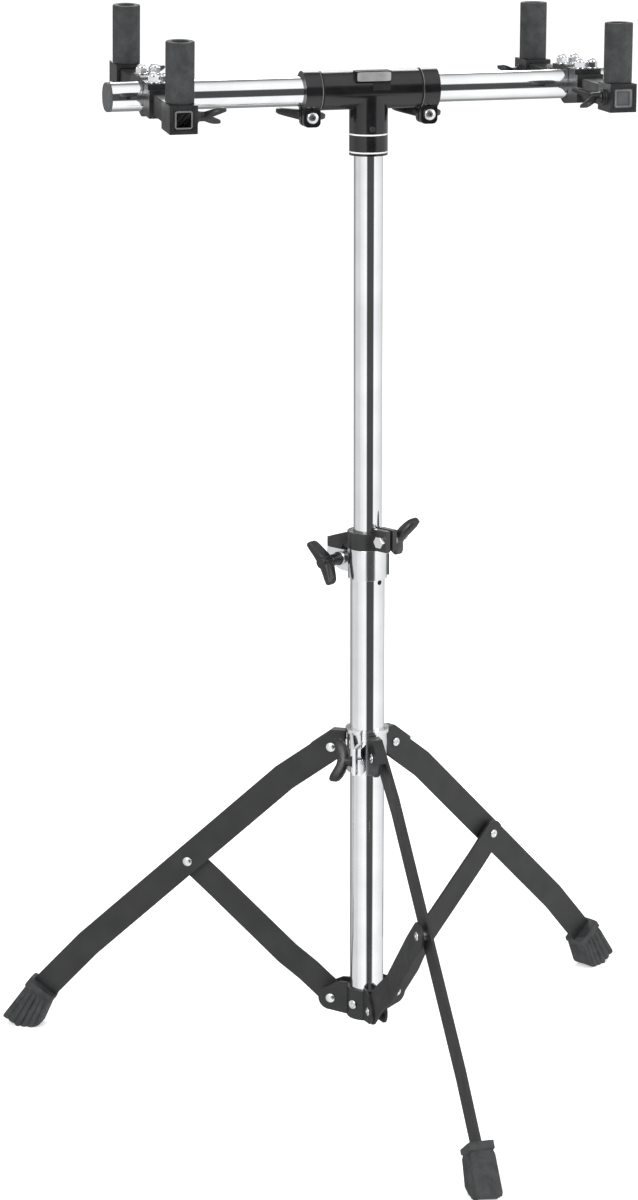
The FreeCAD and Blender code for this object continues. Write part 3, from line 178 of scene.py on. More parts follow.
RUBBER = moulded("rubber_black", (0.020, 0.0215, 0.022), (0.044, 0.046, 0.048), 0.50, 0.72, 1400.0, 0.7)
PLASTIC = moulded("plastic_grey", (0.060, 0.062, 0.066), (0.085, 0.087, 0.092), 0.40, 0.55, 1600.0, 0.3)
KNOB = moulded("knob_plastic", (0.012, 0.012, 0.013), (0.022, 0.022, 0.024), 0.24, 0.36, 1000.0, 0.2)
# light grey, partly the flange's own grey and partly painted as the highlight on the rail ends' edges
PLUG_RIM_AND_HIGHLIGHT = moulded("plug_rim_and_highlight", (0.10, 0.10, 0.105), (0.16, 0.16, 0.165), 0.35, 0.5, 1200.0, 0.2)
WHITE = painted_metal("white_line", (0.72, 0.72, 0.71), (0.80, 0.80, 0.79), 0.35, 0.5, 900.0, 0.1)
# near-black painted shade, put where holes, slots, grooves and recesses are only shade
HOLLOW_SHADE = moulded("painted_hollow_shade", (0.004, 0.004, 0.004), (0.008, 0.008, 0.008), 0.7, 0.9, 900.0, 0.1)


# ---------------------------------------------------------------------------
# Building blocks: every piece is drawn in place, in metres
# ---------------------------------------------------------------------------
# a CAD node's corners are rounded from this angle up, in degrees
EDGE_ANGLE = 32.0
# its faces are merged below this angle, in degrees, and its corners within this distance
FLAT_ANGLE = 0.4
WELD_DISTANCE = 1e-6


def finish_mesh(mesh, sharp=35.0):
    """Shade a mesh smooth, with its corners kept."""
    for polygon in mesh.polygons:
        polygon.use_smooth = True
    mesh.set_sharp_from_angle(angle=math.radians(sharp))


def piece(name, bm, material, body, replaces=(), sharp=35.0):
    """A finished piece that rides on a body."""
    bmesh.ops.recalc_face_normals(bm, faces=bm.faces)
    mesh = bpy.data.meshes.new(name)
    bm.to_mesh(mesh)
    bm.free()
    finish_mesh(mesh, sharp)
    mesh.materials.append(material)
    thing = bpy.data.objects.new(name, mesh)
    bpy.context.scene.collection.objects.link(thing)
    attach(thing, body)
    for node in replaces:
        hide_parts(node)
    return thing


def basis(origin, axis, sideways=None):
    """A matrix whose +Z runs along axis and whose +X is as near sideways as it can be."""
    z = Vector(axis).normalized()
    hint = Vector(sideways) if sideways is not None else (UP if abs(z.z) < 0.9 else Vector((1, 0, 0)))
    x = (hint - z * hint.dot(z)).normalized()
    y = z.cross(x)
    matrix = Matrix((x, y, z)).transposed().to_4x4()
    matrix.translation = Vector(origin)
    return matrix


def turn(degrees):
    """A turn about +Z."""
    return Matrix.Rotation(math.radians(degrees), 4, "Z")


def metres(points):
    """Points drawn in millimetres, in metres."""
    return [(a * MM, b * MM) for a, b in points]


def skin(bm, first, second):
    """Faces between two rings of equal length."""
    count = len(first)
    for index in range(count):
        following = (index + 1) % count
        bm.faces.new((first[index], second[index], second[following], first[following]))


def lathe(bm, profile, matrix, steps=48, closed=False):
    """Revolve a profile of (radius, height) about +Z; a zero radius makes a pole."""
    rings = []
    for radius, height in profile:
        if radius < POLE_RADIUS:
            rings.append([bm.verts.new(matrix @ Vector((0, 0, height)))])
            continue
        ring = []
        for step in range(steps):
            angle = 2 * math.pi * step / steps
            point = Vector((radius * math.cos(angle), radius * math.sin(angle), height))
            ring.append(bm.verts.new(matrix @ point))
        rings.append(ring)
    pairs = list(zip(rings, rings[1:]))
    if closed:
        pairs.append((rings[-1], rings[0]))
    for first, second in pairs:
        if len(first) > 1 and len(second) > 1:
            skin(bm, first, second)
            continue
        if len(first) == len(second):
            continue
        for step in range(steps):
            following = (step + 1) % steps
            if len(first) == 1:
                bm.faces.new((first[0], second[step], second[following]))
            else:
                bm.faces.new((first[step], second[0], first[following]))
    return bm


def rounded(profile, radius, steps=3):
    """Round every inner corner of an open profile."""
    result = [profile[0]]
    for before, corner, after in zip(profile, profile[1:], profile[2:]):
        corner_point = Vector(corner)
        back, forward = Vector(before) - corner_point, Vector(after) - corner_point
        reach = min(radius, back.length * 0.45, forward.length * 0.45)
        start = corner_point + back.normalized() * reach
        end = corner_point + forward.normalized() * reach
        for step in range(steps + 1):
            share = step / steps
            point = start.lerp(corner_point, share).lerp(corner_point.lerp(end, share), share)
            result.append((point.x, point.y))
    result.append(profile[-1])
    return result


def loft(bm, sections, matrix):
    """Skin closed loops of equal length, and close both ends."""
    loops = [[bm.verts.new(matrix @ Vector(point)) for point in section] for section in sections]
    for first, second in zip(loops, loops[1:]):
        skin(bm, first, second)
    bm.faces.new(loops[0][::-1])
    bm.faces.new(loops[-1])
    return bm


def oval(width, height, steps=16, power=0.5):
    """A rounded rectangle as a superellipse: points (a, b)."""
    points = []
    for step in range(steps):
        angle = 2 * math.pi * (step + 0.5) / steps
        c, s = math.cos(angle), math.sin(angle)
        points.append((
            math.copysign(abs(c) ** power, c) * width / 2,
            math.copysign(abs(s) ** power, s) * height / 2,
        ))
    return points


def prism(bm, sides, radius, low, high, chamfer, matrix):
    """A chamfered nut or bolt head along +Z."""
    sections = []
    levels = (
        (low, radius - chamfer), (low + chamfer * 0.5, radius),
        (high - chamfer * 0.5, radius), (high, radius - chamfer),
    )
    for height, reach in levels:
        section = []
        for step in range(sides):
            angle = 2 * math.pi * step / sides
            section.append((reach * math.cos(angle), reach * math.sin(angle), height))
        sections.append(section)
    return loft(bm, sections, matrix)


def edged(node, material, width, segments=2):
    """The CAD node again, with its edges rounded as cast or pressed metal has them."""
    source = frame["nodes"][node]
    bm = bmesh.new()
    bm.from_mesh(source.data)
    bmesh.ops.remove_doubles(bm, verts=bm.verts, dist=WELD_DISTANCE)
    bmesh.ops.dissolve_limit(bm, angle_limit=math.radians(FLAT_ANGLE), verts=bm.verts, edges=bm.edges)
    mesh = bpy.data.meshes.new(node + "_edged")
    bm.to_mesh(mesh)
    bm.free()
    finish_mesh(mesh, EDGE_ANGLE)
    thing = bpy.data.objects.new(node + "_edged", mesh)
    bpy.context.scene.collection.objects.link(thing)
    modifier = thing.modifiers.new("edges", "BEVEL")
    modifier.width = width
    modifier.segments = segments
    modifier.limit_method = "ANGLE"
    modifier.angle_limit = math.radians(EDGE_ANGLE)
    modifier.miter_outer = "MITER_ARC"
    weights = thing.modifiers.new("normals", "WEIGHTED_NORMAL")
    weights.keep_sharp = True
    bpy.context.view_layer.update()
    evaluated = thing.evaluated_get(bpy.context.evaluated_depsgraph_get())
    rounded_mesh = bpy.data.meshes.new_from_object(evaluated)
    thing.modifiers.clear()
    thing.data = rounded_mesh
    rounded_mesh.materials.clear()
    rounded_mesh.materials.append(material)
    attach(thing, source["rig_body"])
    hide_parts(node)
    return thing


def leg_frame(name):
    """A leg's own upright plane: x outwards, y anticlockwise, z up."""
    return turn(LEG_AZIMUTHS[name])


# ---------------------------------------------------------------------------
# Rubber boots
# ---------------------------------------------------------------------------
def polyline(points, share):
    """A point part of the way along a polyline, by length."""
    vectors = [Vector(point) for point in points]
    lengths = [(b - a).length for a, b in zip(vectors, vectors[1:])]
    target = share * sum(lengths)
    for start, end, length in zip(vectors, vectors[1:], lengths):
        if target <= length:
            return start.lerp(end, target / length)
        target -= length
    return vectors[-1]


BOOT_TOP = ((340.0, 35.5), (367.5, 55.0))
BOOT_BOTTOM = ((354.0, 5.2), (363.0, 0.3), (382.0, 0.3), (400.5, 12.2))
BOOT_RIBS = 6
BOOT_CENTRE = 4.0
BOOT_RIM = 0.16
BOOT_LEVELS = (
    0.0, 0.012, 0.06, 0.11, 0.15, 0.158, 0.175, 0.19, 0.22, 0.26,
    0.34, 0.44, 0.55, 0.66, 0.76, 0.85, 0.92, 0.95, 0.975, 1.0,
)
# the levels where the rim turns in, and by what share of its width
BOOT_TURNED_LEVELS = (0.0, 0.158)
BOOT_TURN_IN = 0.035


def boot_section(level):
    """One closed loop round the boot; level runs from 0 at the rim to 1 at the sole."""
    across, round_end = 60, 7
    in_rim = level < BOOT_RIM
    half = 12.4 if in_rim else 10.6 + 0.7 * level
    inset = 0.0 if in_rim else 0.045
    fade = min(1.0, max(0.0, (level - BOOT_RIM) / 0.10))
    closing = max(0.0, (level - 0.93) / 0.07)
    points = []

    def at(share, offset):
        share = inset + share * (1 - 2 * inset)
        top, bottom = polyline(BOOT_TOP, share), polyline(BOOT_BOTTOM, share)
        place = top.lerp(bottom, level)
        return Vector((place.x, offset + BOOT_CENTRE, place.y))

    def swell(share):
        """How far the ribs of the broad sides stand out."""
        if in_rim:
            return 0.0
        rib = abs(math.sin(math.pi * BOOT_RIBS * share)) ** 0.55
        return fade * 1.7 * rib - closing * 0.8 * (1 - rib)

    for side in (1, -1):
        shares = [0.04 + 0.92 * step / across for step in range(across + 1)]
        if side < 0:
            shares.reverse()
        for share in shares:
            reach = half + swell(share) - 1.2 * closing
            points.append(at(share, side * reach))
        end = 1.0 if side > 0 else 0.0
        for step in range(1, round_end):
            angle = math.pi * step / round_end
            bulge = 0.035 * math.sin(angle)
            share = end - (0.04 - bulge) * (1 if end > 0.5 else -1)
            points.append(at(share, side * half * math.cos(angle)))
    return [point * MM for point in points]


def make_boot(name):
    """A ribbed rubber foot with a plain rim."""
    sections = []
    for level in BOOT_LEVELS:
        section = boot_section(level)
        if level in BOOT_TURNED_LEVELS:
            centre = sum(section, Vector()) / len(section)
            section = [point.lerp(centre, BOOT_TURN_IN) for point in section]
        sections.append(section)
    bm = loft(bmesh.new(), sections, leg_frame(name))
    return piece(name + "_boot", bm, RUBBER, name + "_leg_unit", (name + "_foot",), sharp=50.0)


# ---------------------------------------------------------------------------
# Wing bolts and wing nuts
# ---------------------------------------------------------------------------
def wing_blade(bm, matrix, stations):
    """The blade of a wing: sections (x, low, high, thickness) from x = 0, mirrored about it."""
    line = [(-x, low, high, thick) for x, low, high, thick in reversed(stations)] + stations[1:]
    sections = []
    for x, low, high, thick in line:
        section = []
        for a, b in oval(thick, high - low, power=0.55):
            section.append((x * MM, a * MM, ((low + high) / 2 + b) * MM))
        sections.append(section)
    return loft(bm, sections, matrix)


def make_wing(node, joint, angle, stations, hub):
    """A wing bolt or nut: a turned hub and a two-armed blade, placed on its joint."""
    row = JOINTS[joint]
    matrix = basis(row["pos_m"], row["axis"]) @ turn(angle)
    bm = bmesh.new()
    lathe(bm, metres(rounded(hub, 0.7)), matrix, steps=40)
    wing_blade(bm, matrix, stations)
    return piece(node + "_shaped", bm, KNOB, row["child"], (node,), sharp=40.0)


# ---------------------------------------------------------------------------
# Rivets and screws
# ---------------------------------------------------------------------------
# radius and height of a rivet's domed head; radius, height and bore of its rolled tail
RIVET_HEAD = (5.2, 2.7)
RIVET_TAIL = (4.6, 1.7, 1.5)
RIVET_SHANK = 2.9
KNEE_SPACER = 5.0
# the knee pivot in the leg's plane: distance from the pole and height
KNEE = (192.0, 198.5)
BRACKET_SCREW_AZIMUTHS = (90.0, 210.0, 330.0)


def dome(bm, matrix, radius, height, lip=0.4):
    """A snap head that stands on +Z."""
    profile = [(0, 0), (radius * MM, 0), (radius * MM, lip * MM)]
    for step in range(1, 8):
        angle = math.pi / 2 * step / 8
        profile.append((radius * math.cos(angle) * MM, (lip + (height - lip) * math.sin(angle)) * MM))
    profile.append((0, height * MM))
    return lathe(bm, profile, matrix, steps=36)


def eyelet(bm, matrix, radius, height, bore):
    """The rolled end of a tubular rivet, standing on +Z."""
    profile = [
        (0, 0), (radius, 0), (radius, height * 0.5), (radius * 0.86, height),
        (bore + 0.4, height), (bore, height * 0.7), (bore, height * 0.2), (0, height * 0.2),
    ]
    return lathe(bm, metres(rounded(profile, 0.3, 2)), matrix, steps=36)


def rod(bm, radius, length, matrix, steps):
    """A plain round rod along +Z."""
    profile = [(0, 0), (radius, 0), (radius, length), (0, length)]
    return lathe(bm, metres(profile), matrix, steps=steps)


def pivot_matrix(name, x, z, offset, direction):
    """Where a rivet end stands on a face across the leg's plane."""
    return leg_frame(name) @ basis(Vector((x, offset, z)) * MM, (0, direction, 0))


def make_rivets():
    """Pairs of domed heads and rolled ends at every pivot."""
    for label, x, z, ccw, cw, body, node in (
        ("leg_pivot", 37.0, 335.0, 5.8, -5.8, "collar", "leg_pivot_rivets"),
        ("base_pivot", 37.0, 62.0, 8.1, -9.3, "base", "brace_pivot_rivets"),
    ):
        bm = bmesh.new()
        for name in LEG_AZIMUTHS:
            dome(bm, pivot_matrix(name, x, z, ccw, 1), *RIVET_HEAD)
            eyelet(bm, pivot_matrix(name, x, z, cw, -1), *RIVET_TAIL)
            rod(bm, RIVET_SHANK, ccw - cw, pivot_matrix(name, x, z, cw, 1), steps=24)
        piece(label + "_rivets_turned", bm, ZINC, body, (node,))
    for name in LEG_AZIMUTHS:
        x, z = KNEE
        bm = bmesh.new()
        dome(bm, pivot_matrix(name, x, z, 5.5, 1), *RIVET_HEAD)
        rod(bm, RIVET_SHANK, 3.2, pivot_matrix(name, x, z, 2.4, 1), steps=24)
        rod(bm, KNEE_SPACER, 4.6, pivot_matrix(name, x, z, -2.15, 1), steps=36)
        piece(name + "_knee_rivet_turned", bm, ZINC, name + "_leg_unit", (name + "_knee_rivet",))
        bm = bmesh.new()
        eyelet(bm, pivot_matrix(name, x, z, -5.5, -1), *RIVET_TAIL)
        piece(name + "_knee_cap_turned", bm, ZINC, name + "_brace_unit", (name + "_knee_cap",))
    bm = bmesh.new()
    for azimuth in BRACKET_SCREW_AZIMUTHS:
        matrix = turn(azimuth) @ basis((20.5 * MM, 0, 61 * MM), (1, 0, 0))
        eyelet(bm, matrix, 5.0, 1.9, 1.4)
    piece("bracket_screws_turned", bm, ZINC, "base", ("bracket_screws",))


# ---------------------------------------------------------------------------
# Posts and the hardware of the arms
# ---------------------------------------------------------------------------
def post_axis(side, end):
    """Centre of the carriage, the post's direction and the arm's outward direction."""
    wing = JOINTS["%s_%s_wing_turn" % (end, side)]
    outwards = -Vector(JOINTS["%s_%s_post_slide" % (end, side)]["axis"])
    right = Vector((1, 0, 0))
    up = right.cross(outwards) if outwards.y > 0 else outwards.cross(right)
    return Vector(wing["pos_m"]), up.normalized(), outwards.normalized()


def make_post(side, end):
    """The rubber sleeve of a post, and a dark dome in it painted as the shade of the stud's hollow end."""
    centre, up, outwards = post_axis(side, end)
    body = "%s_%s_post_unit" % (end, side)
    node = "%s_%s_post" % (end, side)
    matrix = basis(centre + up * 13.5 * MM, up, (1, 0, 0))
    profile = [
        (0, 0), (13.3, 0), (13.6, 1.2), (13.6, 56.2), (13.2, 57.0),
        (8.6, 57.0), (8.0, 56.2), (7.6, 49.5), (6.0, 49.0), (0, 49.0),
    ]
    bm = lathe(bmesh.new(), metres(rounded(profile, 0.5, 2)), matrix, steps=56)
    piece(node + "_sleeve", bm, RUBBER, body, (node,))
    # painted shade: a dark dome for the shaded hollow end of the stud
    bm = bmesh.new()
    dome(bm, basis(centre + up * 62.4 * MM, up), 5.2, 1.2)
    piece(node + "_stud_end_shade", bm, HOLLOW_SHADE, body)


def square_ring(bm, matrix, outer, inner, low, high, corner, bevel):
    """A square frame with rounded corners, standing on +Z."""
    def loop(side, height, radius):
        points = []
        for quadrant in range(4):
            middle = math.radians(45 + 90 * quadrant)
            cx = math.copysign(side / 2 - radius, math.cos(middle))
            cy = math.copysign(side / 2 - radius, math.sin(middle))
            for step in range(6):
                angle = math.radians(90 * quadrant + 90 * step / 5)
                x, y = cx + radius * math.cos(angle), cy + radius * math.sin(angle)
                points.append((x * MM, y * MM, height * MM))
        return points

    inner_corner = max(0.6, corner - (outer - inner) / 2)
    loops = [
        loop(outer, low, corner),
        loop(outer, high - bevel, corner),
        loop(outer - 2 * bevel, high, corner - bevel * 0.6),
        loop(inner + 2 * bevel, high, inner_corner + bevel * 0.5),
        loop(inner, high - bevel, inner_corner),
        loop(inner, low, inner_corner),
    ]
    rings = [[bm.verts.new(matrix @ Vector(point)) for point in ring] for ring in loops]
    for first, second in zip(rings, rings[1:] + rings[:1]):
        skin(bm, first, second)
    return bm


def make_rail_plugs(side):
    """Recessed plugs with a moulded rim in both rail ends; the rim's light grey is partly its own grey and
    partly a painted highlight of the rail's end edges.
    """
    rims, faces = bmesh.new(), bmesh.new()
    for end in ENDS:
        centre, up, outwards = post_axis(side, end)
        matrix = basis(centre, outwards, up)
        square_ring(rims, matrix, 17.6, 13.4, 6.0, 17.4, corner=2.6, bevel=0.7)
        plate = metres(oval(14.0, 14.0, steps=32, power=0.3))
        loft(faces, [[(a, b, z * MM) for a, b in plate] for z in (8.0, 15.4)], matrix)
    arm = side + "_arm"
    piece(side + "_rail_plug_rims", rims, PLUG_RIM_AND_HIGHLIGHT, arm, (side + "_rail_plugs",))
    piece(side + "_rail_plug_faces", faces, PLASTIC, arm)


# places of the arm bolts from the arm's pivot
ARM_BOLTS_ACROSS = (-6.5, 6.5)
ARM_BOLTS_ALONG = (-25.0, 25.0)


def make_arm_bolts(side):
    """Domed hexagon screws over broad washers."""
    arm = JOINTS[side + "_arm_tilt"]
    _, up, outwards = post_axis(side, "rear")
    bm = bmesh.new()
    for x in ARM_BOLTS_ACROSS:
        for y in ARM_BOLTS_ALONG:
            place = Vector(arm["pos_m"]) + Vector((x * MM, 0, 0)) + outwards * y * MM + up * 17 * MM
            matrix = basis(place, up, (1, 0, 0)) @ turn(11.0 * x + y)
            washer = [(0, 0), (6.2, 0), (6.2, 1.2), (0, 1.2)]
            lathe(bm, metres(rounded(washer, 0.3, 2)), matrix, steps=32)
            prism(bm, 6, 5.8 * MM, 1.2 * MM, 6.4 * MM, 0.7 * MM, matrix)
            dome(bm, matrix @ Matrix.Translation((0, 0, 6.3 * MM)), 4.3, 3.6, lip=0.5)
    piece(side + "_arm_bolts_turned", bm, ZINC, side + "_arm", (side + "_arm_bolts",))


def make_bar_end(side):
    """The domed cap in the end of a bar."""
    sign = SIDES[side]
    low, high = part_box(side + "_bar_plug")
    outer = low.x if sign < 0 else high.x
    centre = Vector((outer, (low.y + high.y) / 2, (low.z + high.z) / 2))
    matrix = basis(centre, (sign, 0, 0))
    profile = [
        (0, -18), (12.6, -18), (12.6, -5.0), (14.3, -5.0), (14.3, -1.4),
        (13.2, -0.3), (11.8, 0.0), (7.0, 0.9), (0, 1.2),
    ]
    bm = lathe(bmesh.new(), metres(rounded(profile, 0.8)), matrix, steps=64)
    piece(side + "_bar_cap", bm, PLASTIC, side + "_bar_unit", (side + "_bar_plug",))


# where the heads of the bar clamp bolts rest, along Y
BOLT_SEAT = -9.0


def make_clamp_bolts():
    """Round cross-slotted heads in front of the bar clamps."""
    bm, slots = bmesh.new(), bmesh.new()
    for side, sign in SIDES.items():
        row = JOINTS[side + "_bar_wing_turn"]
        x, _, z = row["pos_m"]
        seat = (x, BOLT_SEAT * MM, z)
        matrix = basis(seat, (0, -1, 0))
        head = [(0, 0), (6.0, 0), (6.0, 2.2), (5.0, 3.6), (2.6, 4.2), (0, 4.3)]
        lathe(bm, metres(rounded(head, 0.5)), matrix, steps=40)
        shank = [(0, 0), (3.0, 0), (3.0, 39.0), (0, 39.5)]
        lathe(bm, metres(shank), basis(seat, (0, 1, 0)), steps=24)
        # painted shade: a dark strip in each arm of the cross slot
        for angle in (20.0, 110.0):
            slot = metres(oval(5.2, 0.9, steps=12, power=0.4))
            loft(slots, [[(a, b, h * MM) for a, b in slot] for h in (3.4, 4.34)], matrix @ turn(angle))
    piece("bar_clamp_bolts_turned", bm, ZINC, "mast", ("bar_clamp_bolts",))
    piece("bar_clamp_bolt_slot_shade", slots, HOLLOW_SHADE, "mast")


# ---------------------------------------------------------------------------
# Trim on the T head and the tubes
# ---------------------------------------------------------------------------
def band(bm, radius, low, high, proud=0.12, sunk=0.3):
    """A thin painted line round an upright tube."""
    inner, outer = radius - sunk, radius + proud
    profile = [(inner, low), (outer, low), (outer, high), (inner, high)]
    return lathe(bm, metres(profile), Matrix.Identity(4), steps=72, closed=True)


# the two painted lines on the head's socket: low and high
SOCKET_LINES = ((945.0, 946.4), (962.4, 963.8))
SOCKET_RADIUS = 19.0
BAR_HEIGHT = 1006.0
PAD_FRONT = -19.4
# the upper and lower edges of the painted shade under the pad, in degrees above the sleeve's front
RECESS_SHADE_TOP = 27.0
RECESS_SHADE_BOTTOM = 2.0


def make_head_trim():
    """Lines, screw and pad face of the T head, with a painted reflection on the pad face, painted shade in
    the recess under the pad and in the ring grooves, and painted highlights on the ring edges.
    """
    bm = bmesh.new()
    for low, high in SOCKET_LINES:
        band(bm, SOCKET_RADIUS, low, high)
    piece("socket_lines", bm, WHITE, "mast")
    bm = bmesh.new()
    matrix = turn(-95.0) @ basis((18.9 * MM, 0, 969.0 * MM), (1, 0, 0))
    eyelet(bm, matrix, 2.9, 0.8, 1.3)
    piece("socket_set_screw", bm, CAST_BLACK, "mast")
    # the textured front of the flat pad, light grey as a painted reflection of that face
    _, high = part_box("t_head")
    bm = bmesh.new()
    sheet = metres(oval(34.0, 9.0, steps=40, power=0.2))
    height = high.z - 5.6 * MM
    matrix = basis((0, PAD_FRONT * MM, height), (0, -1, 0), (1, 0, 0))
    loft(bm, [[(a, b, z * MM) for a, b in sheet] for z in (-0.5, 0.25)], matrix)
    piece("pad_face_reflection", bm, PAD_REFLECTION, "mast")
    # painted shade: a dark sheet for the shaded recess under the pad, following the sleeve
    bm = bmesh.new()
    rows = []
    for step in range(9):
        angle = math.radians(RECESS_SHADE_TOP + (RECESS_SHADE_BOTTOM - RECESS_SHADE_TOP) * step / 8)
        y, z = -math.cos(angle), math.sin(angle)
        rows.append([
            bm.verts.new(Vector((x, y * radius, BAR_HEIGHT + z * radius)) * MM)
            for x, radius in ((-1.0, 18.6), (-1.0, 19.12), (17.0, 19.12), (17.0, 18.6))
        ])
    for first, second in zip(rows, rows[1:]):
        skin(bm, first, second)
    bm.faces.new(rows[0])
    bm.faces.new(rows[-1][::-1])
    piece("pad_recess_shade", bm, HOLLOW_SHADE, "mast")
    groove_shades, edges = bmesh.new(), bmesh.new()
    for sign in (-1, 1):
        matrix = basis((sign * 51.0 * MM, 0, BAR_HEIGHT * MM), (sign, 0, 0))
        # painted shade: a dark band in the groove beside each ring
        groove = [(18.2, -1.5), (19.08, -1.5), (19.08, 0), (18.2, 0)]
        lathe(groove_shades, metres(groove), matrix, steps=80, closed=True)
        # painted highlight: a light grey band on the outer edge of each ring
        edge = [(19.1, 0.1), (19.74, 0.1), (19.78, 0.6), (19.1, 0.9)]
        lathe(edges, metres(edge), matrix, steps=80, closed=True)
    piece("ring_groove_shade", groove_shades, HOLLOW_SHADE, "mast")
    piece("ring_edge_highlights", edges, EDGE_HIGHLIGHT, "mast")


def make_index_hole():
    """A dark cup painted as the shade in the hole in the lower tube, under the height clamp."""
    bm = bmesh.new()
    eyelet(bm, turn(298.0) @ basis((17.2 * MM, 0, 513 * MM), (1, 0, 0)), 2.7, 0.45, 1.8)
    piece("index_hole_shade", bm, HOLLOW_SHADE, "base")


# ---------------------------------------------------------------------------
# The stand
# ---------------------------------------------------------------------------
def dress():
    """Materials and rounded edges for the CAD nodes."""
    for node, material in (
        ("upper_pole", CHROME), ("left_bar", CHROME), ("right_bar", CHROME),
        ("lower_tube", CHROME), ("pole_bush", PLASTIC),
    ):
        materials = frame["nodes"][node].data.materials
        materials.clear()
        materials.append(material)
    edged("t_head", GLOSS, 0.0009, segments=3)
    edged("height_clamp", CAST_CHROME, 0.0009, segments=3)
    edged("clamp_nut_and_washer", ZINC, 0.0003)
    edged("memory_lock", CAST_BLACK, 0.0010, segments=3)
    edged("memory_bolt", ZINC, 0.0004)
    edged("leg_collar", CAST_CHROME, 0.0009, segments=3)
    edged("bottom_bracket", POWDER, 0.0006)
    for name in LEG_AZIMUTHS:
        edged(name + "_leg", POWDER, 0.0007)
        edged(name + "_brace", POWDER, 0.0007)
    for side in SIDES:
        edged(side + "_arm_clamp", CAST_BLACK, 0.0012, segments=3)
        edged(side + "_arm_saddle", CAST_BLACK, 0.0009, segments=3)
        edged(side + "_arm_rails", POWDER, 0.0010, segments=3)
        for end in ENDS:
            edged("%s_%s_carriage" % (end, side), CAST_BLACK, 0.0028, segments=4)


# hubs of the wings, (radius, height), and blades, (x, low, high, thickness)
LONG_HUB = [
    (0, 0), (7.0, 0), (7.0, 1.2), (5.8, 2.0), (5.8, 13.0),
    (7.2, 16.0), (7.2, 25.0), (5.5, 27.5), (0, 28.0),
]
LONG_WING = [
    (0, 13.0, 27.0, 13.0), (5, 13.2, 27.0, 12.6), (11, 15.0, 28.5, 10.8),
    (18, 17.6, 30.5, 9.2), (22.4, 19.6, 31.6, 7.6), (24.2, 21.8, 30.4, 4.8),
]
MEMORY_HUB = [(0, 0), (6.4, 0), (6.4, 1.2), (5.6, 2.0), (5.4, 9.0), (4.8, 11.4), (0, 12.0)]
MEMORY_WING = [
    (0, 3.0, 14.0, 10.0), (5, 3.6, 15.6, 10.4), (11, 5.8, 19.6, 10.6),
    (17, 9.0, 23.2, 9.8), (21.6, 12.4, 25.0, 7.8), (23.6, 15.8, 22.8, 4.8),
]
BAR_HUB = [(0, 0), (6.4, 0), (6.4, 1.2), (5.6, 2.0), (5.4, 12.0), (5.0, 15.0), (0, 16.0)]
BAR_WING = [
    (0, 3.0, 16.0, 11.0), (5, 3.6, 16.6, 10.6), (11, 8.0, 20.2, 9.2),
    (17, 13.2, 25.2, 8.0), (22, 17.8, 29.4, 6.6), (24.6, 21.4, 27.8, 4.4),
]
COLLAR_HUB = [(0, 0), (6.6, 0), (6.6, 1.2), (5.2, 2.0), (5.2, 12.0), (5.8, 14.0), (4.6, 16.5), (0, 17.0)]
COLLAR_WING = [
    (0, 6.0, 17.0, 10.5), (5, 6.0, 17.8, 10.2), (11, 7.4, 20.6, 9.4),
    (16.5, 9.8, 23.2, 8.4), (20.4, 12.8, 23.6, 6.6), (22.0, 15.6, 21.8, 4.0),
]
POST_HUB = [(0, 0), (5.6, 0), (5.6, 1.0), (4.8, 1.8), (4.6, 9.0), (3.8, 11.4), (0, 12.0)]
POST_WING = [
    (0, 3.6, 11.6, 7.0), (3, 4.4, 12.6, 6.8), (7, 8.4, 17.6, 6.2),
    (10.5, 12.2, 22.2, 5.6), (13.2, 16.2, 25.4, 4.8), (14.2, 19.2, 24.4, 3.0),
]


def shifted(rows, by):
    """Stations or a hub moved along the screw's axis."""
    if len(rows[0]) == 2:
        return [(r, z + by) for r, z in rows]
    return [(x, low + by, high + by, thick) for x, low, high, thick in rows]


def place_wing(node, joint, angle, wing, hub, seat):
    """A wing whose hub starts at seat, along the screw from its joint."""
    make_wing(node, joint, angle, shifted(wing, seat), shifted(hub, seat))


def make_all_wings():
    """Every wing of the stand, turned as it stands at rest."""
    place_wing("height_wing_bolt", "height_wing_turn", 36.0, LONG_WING, LONG_HUB, 7.2)
    place_wing("memory_wing_nut", "memory_wing_turn", 34.0, MEMORY_WING, MEMORY_HUB, 9.5)
    place_wing("collar_wing_bolt", "collar_wing_turn", 25.0, COLLAR_WING, COLLAR_HUB, 4.7)
    for side in SIDES:
        name = side + "_bar_wing"
        place_wing(name + "_nut", name + "_turn", 98.0, BAR_WING, BAR_HUB, 9.3)
        for end, angle in (("front", 60.0), ("rear", 120.0)):
            name = "%s_%s_wing" % (end, side)
            place_wing(name + "_bolt", name + "_turn", angle, POST_WING, POST_HUB, 16.8)


# ---------------------------------------------------------------------------
# Floor, light and camera
# ---------------------------------------------------------------------------
# azimuth in degrees from +X, brightness
STUDIO = [
    (-180.0, 0.75), (-158.0, 0.95), (-128.0, 1.1), (-60.0, 1.15), (-30.0, 1.05), (-8.0, 0.95),
    (30.0, 0.8), (60.0, 0.3), (110.0, 0.3), (150.0, 0.75), (180.0, 0.75),
]
# the middle of the dark patch, and how near a direction is to it at its edge and core
PATCH_DIRECTION = Vector((0.03, -1.0, 0.02)).normalized()
PATCH_EDGE = 0.84
PATCH_CORE = 0.90
PATCH_LEVEL = 0.07
# name, place, size and power of each soft light
LIGHTS = (
    ("key", (-2.2, -2.6, 2.6), 1.6, 60.0),
    ("fill", (2.6, -1.8, 1.8), 1.4, 30.0),
    ("back", (0.4, 2.8, 2.6), 1.8, 40.0),
)
LIGHT_TARGET = Vector((0, 0, 0.55))
CAMERA_PLACE = Vector((-0.940644, -3.156658, 1.334447))
CAMERA_FORWARD = Vector((0.26280613, 0.93246065, -0.24789125))
CAMERA_RIGHT = Vector((0.96240568, -0.2716126, -0.00137945))
CAMERA_LENS = 100.61


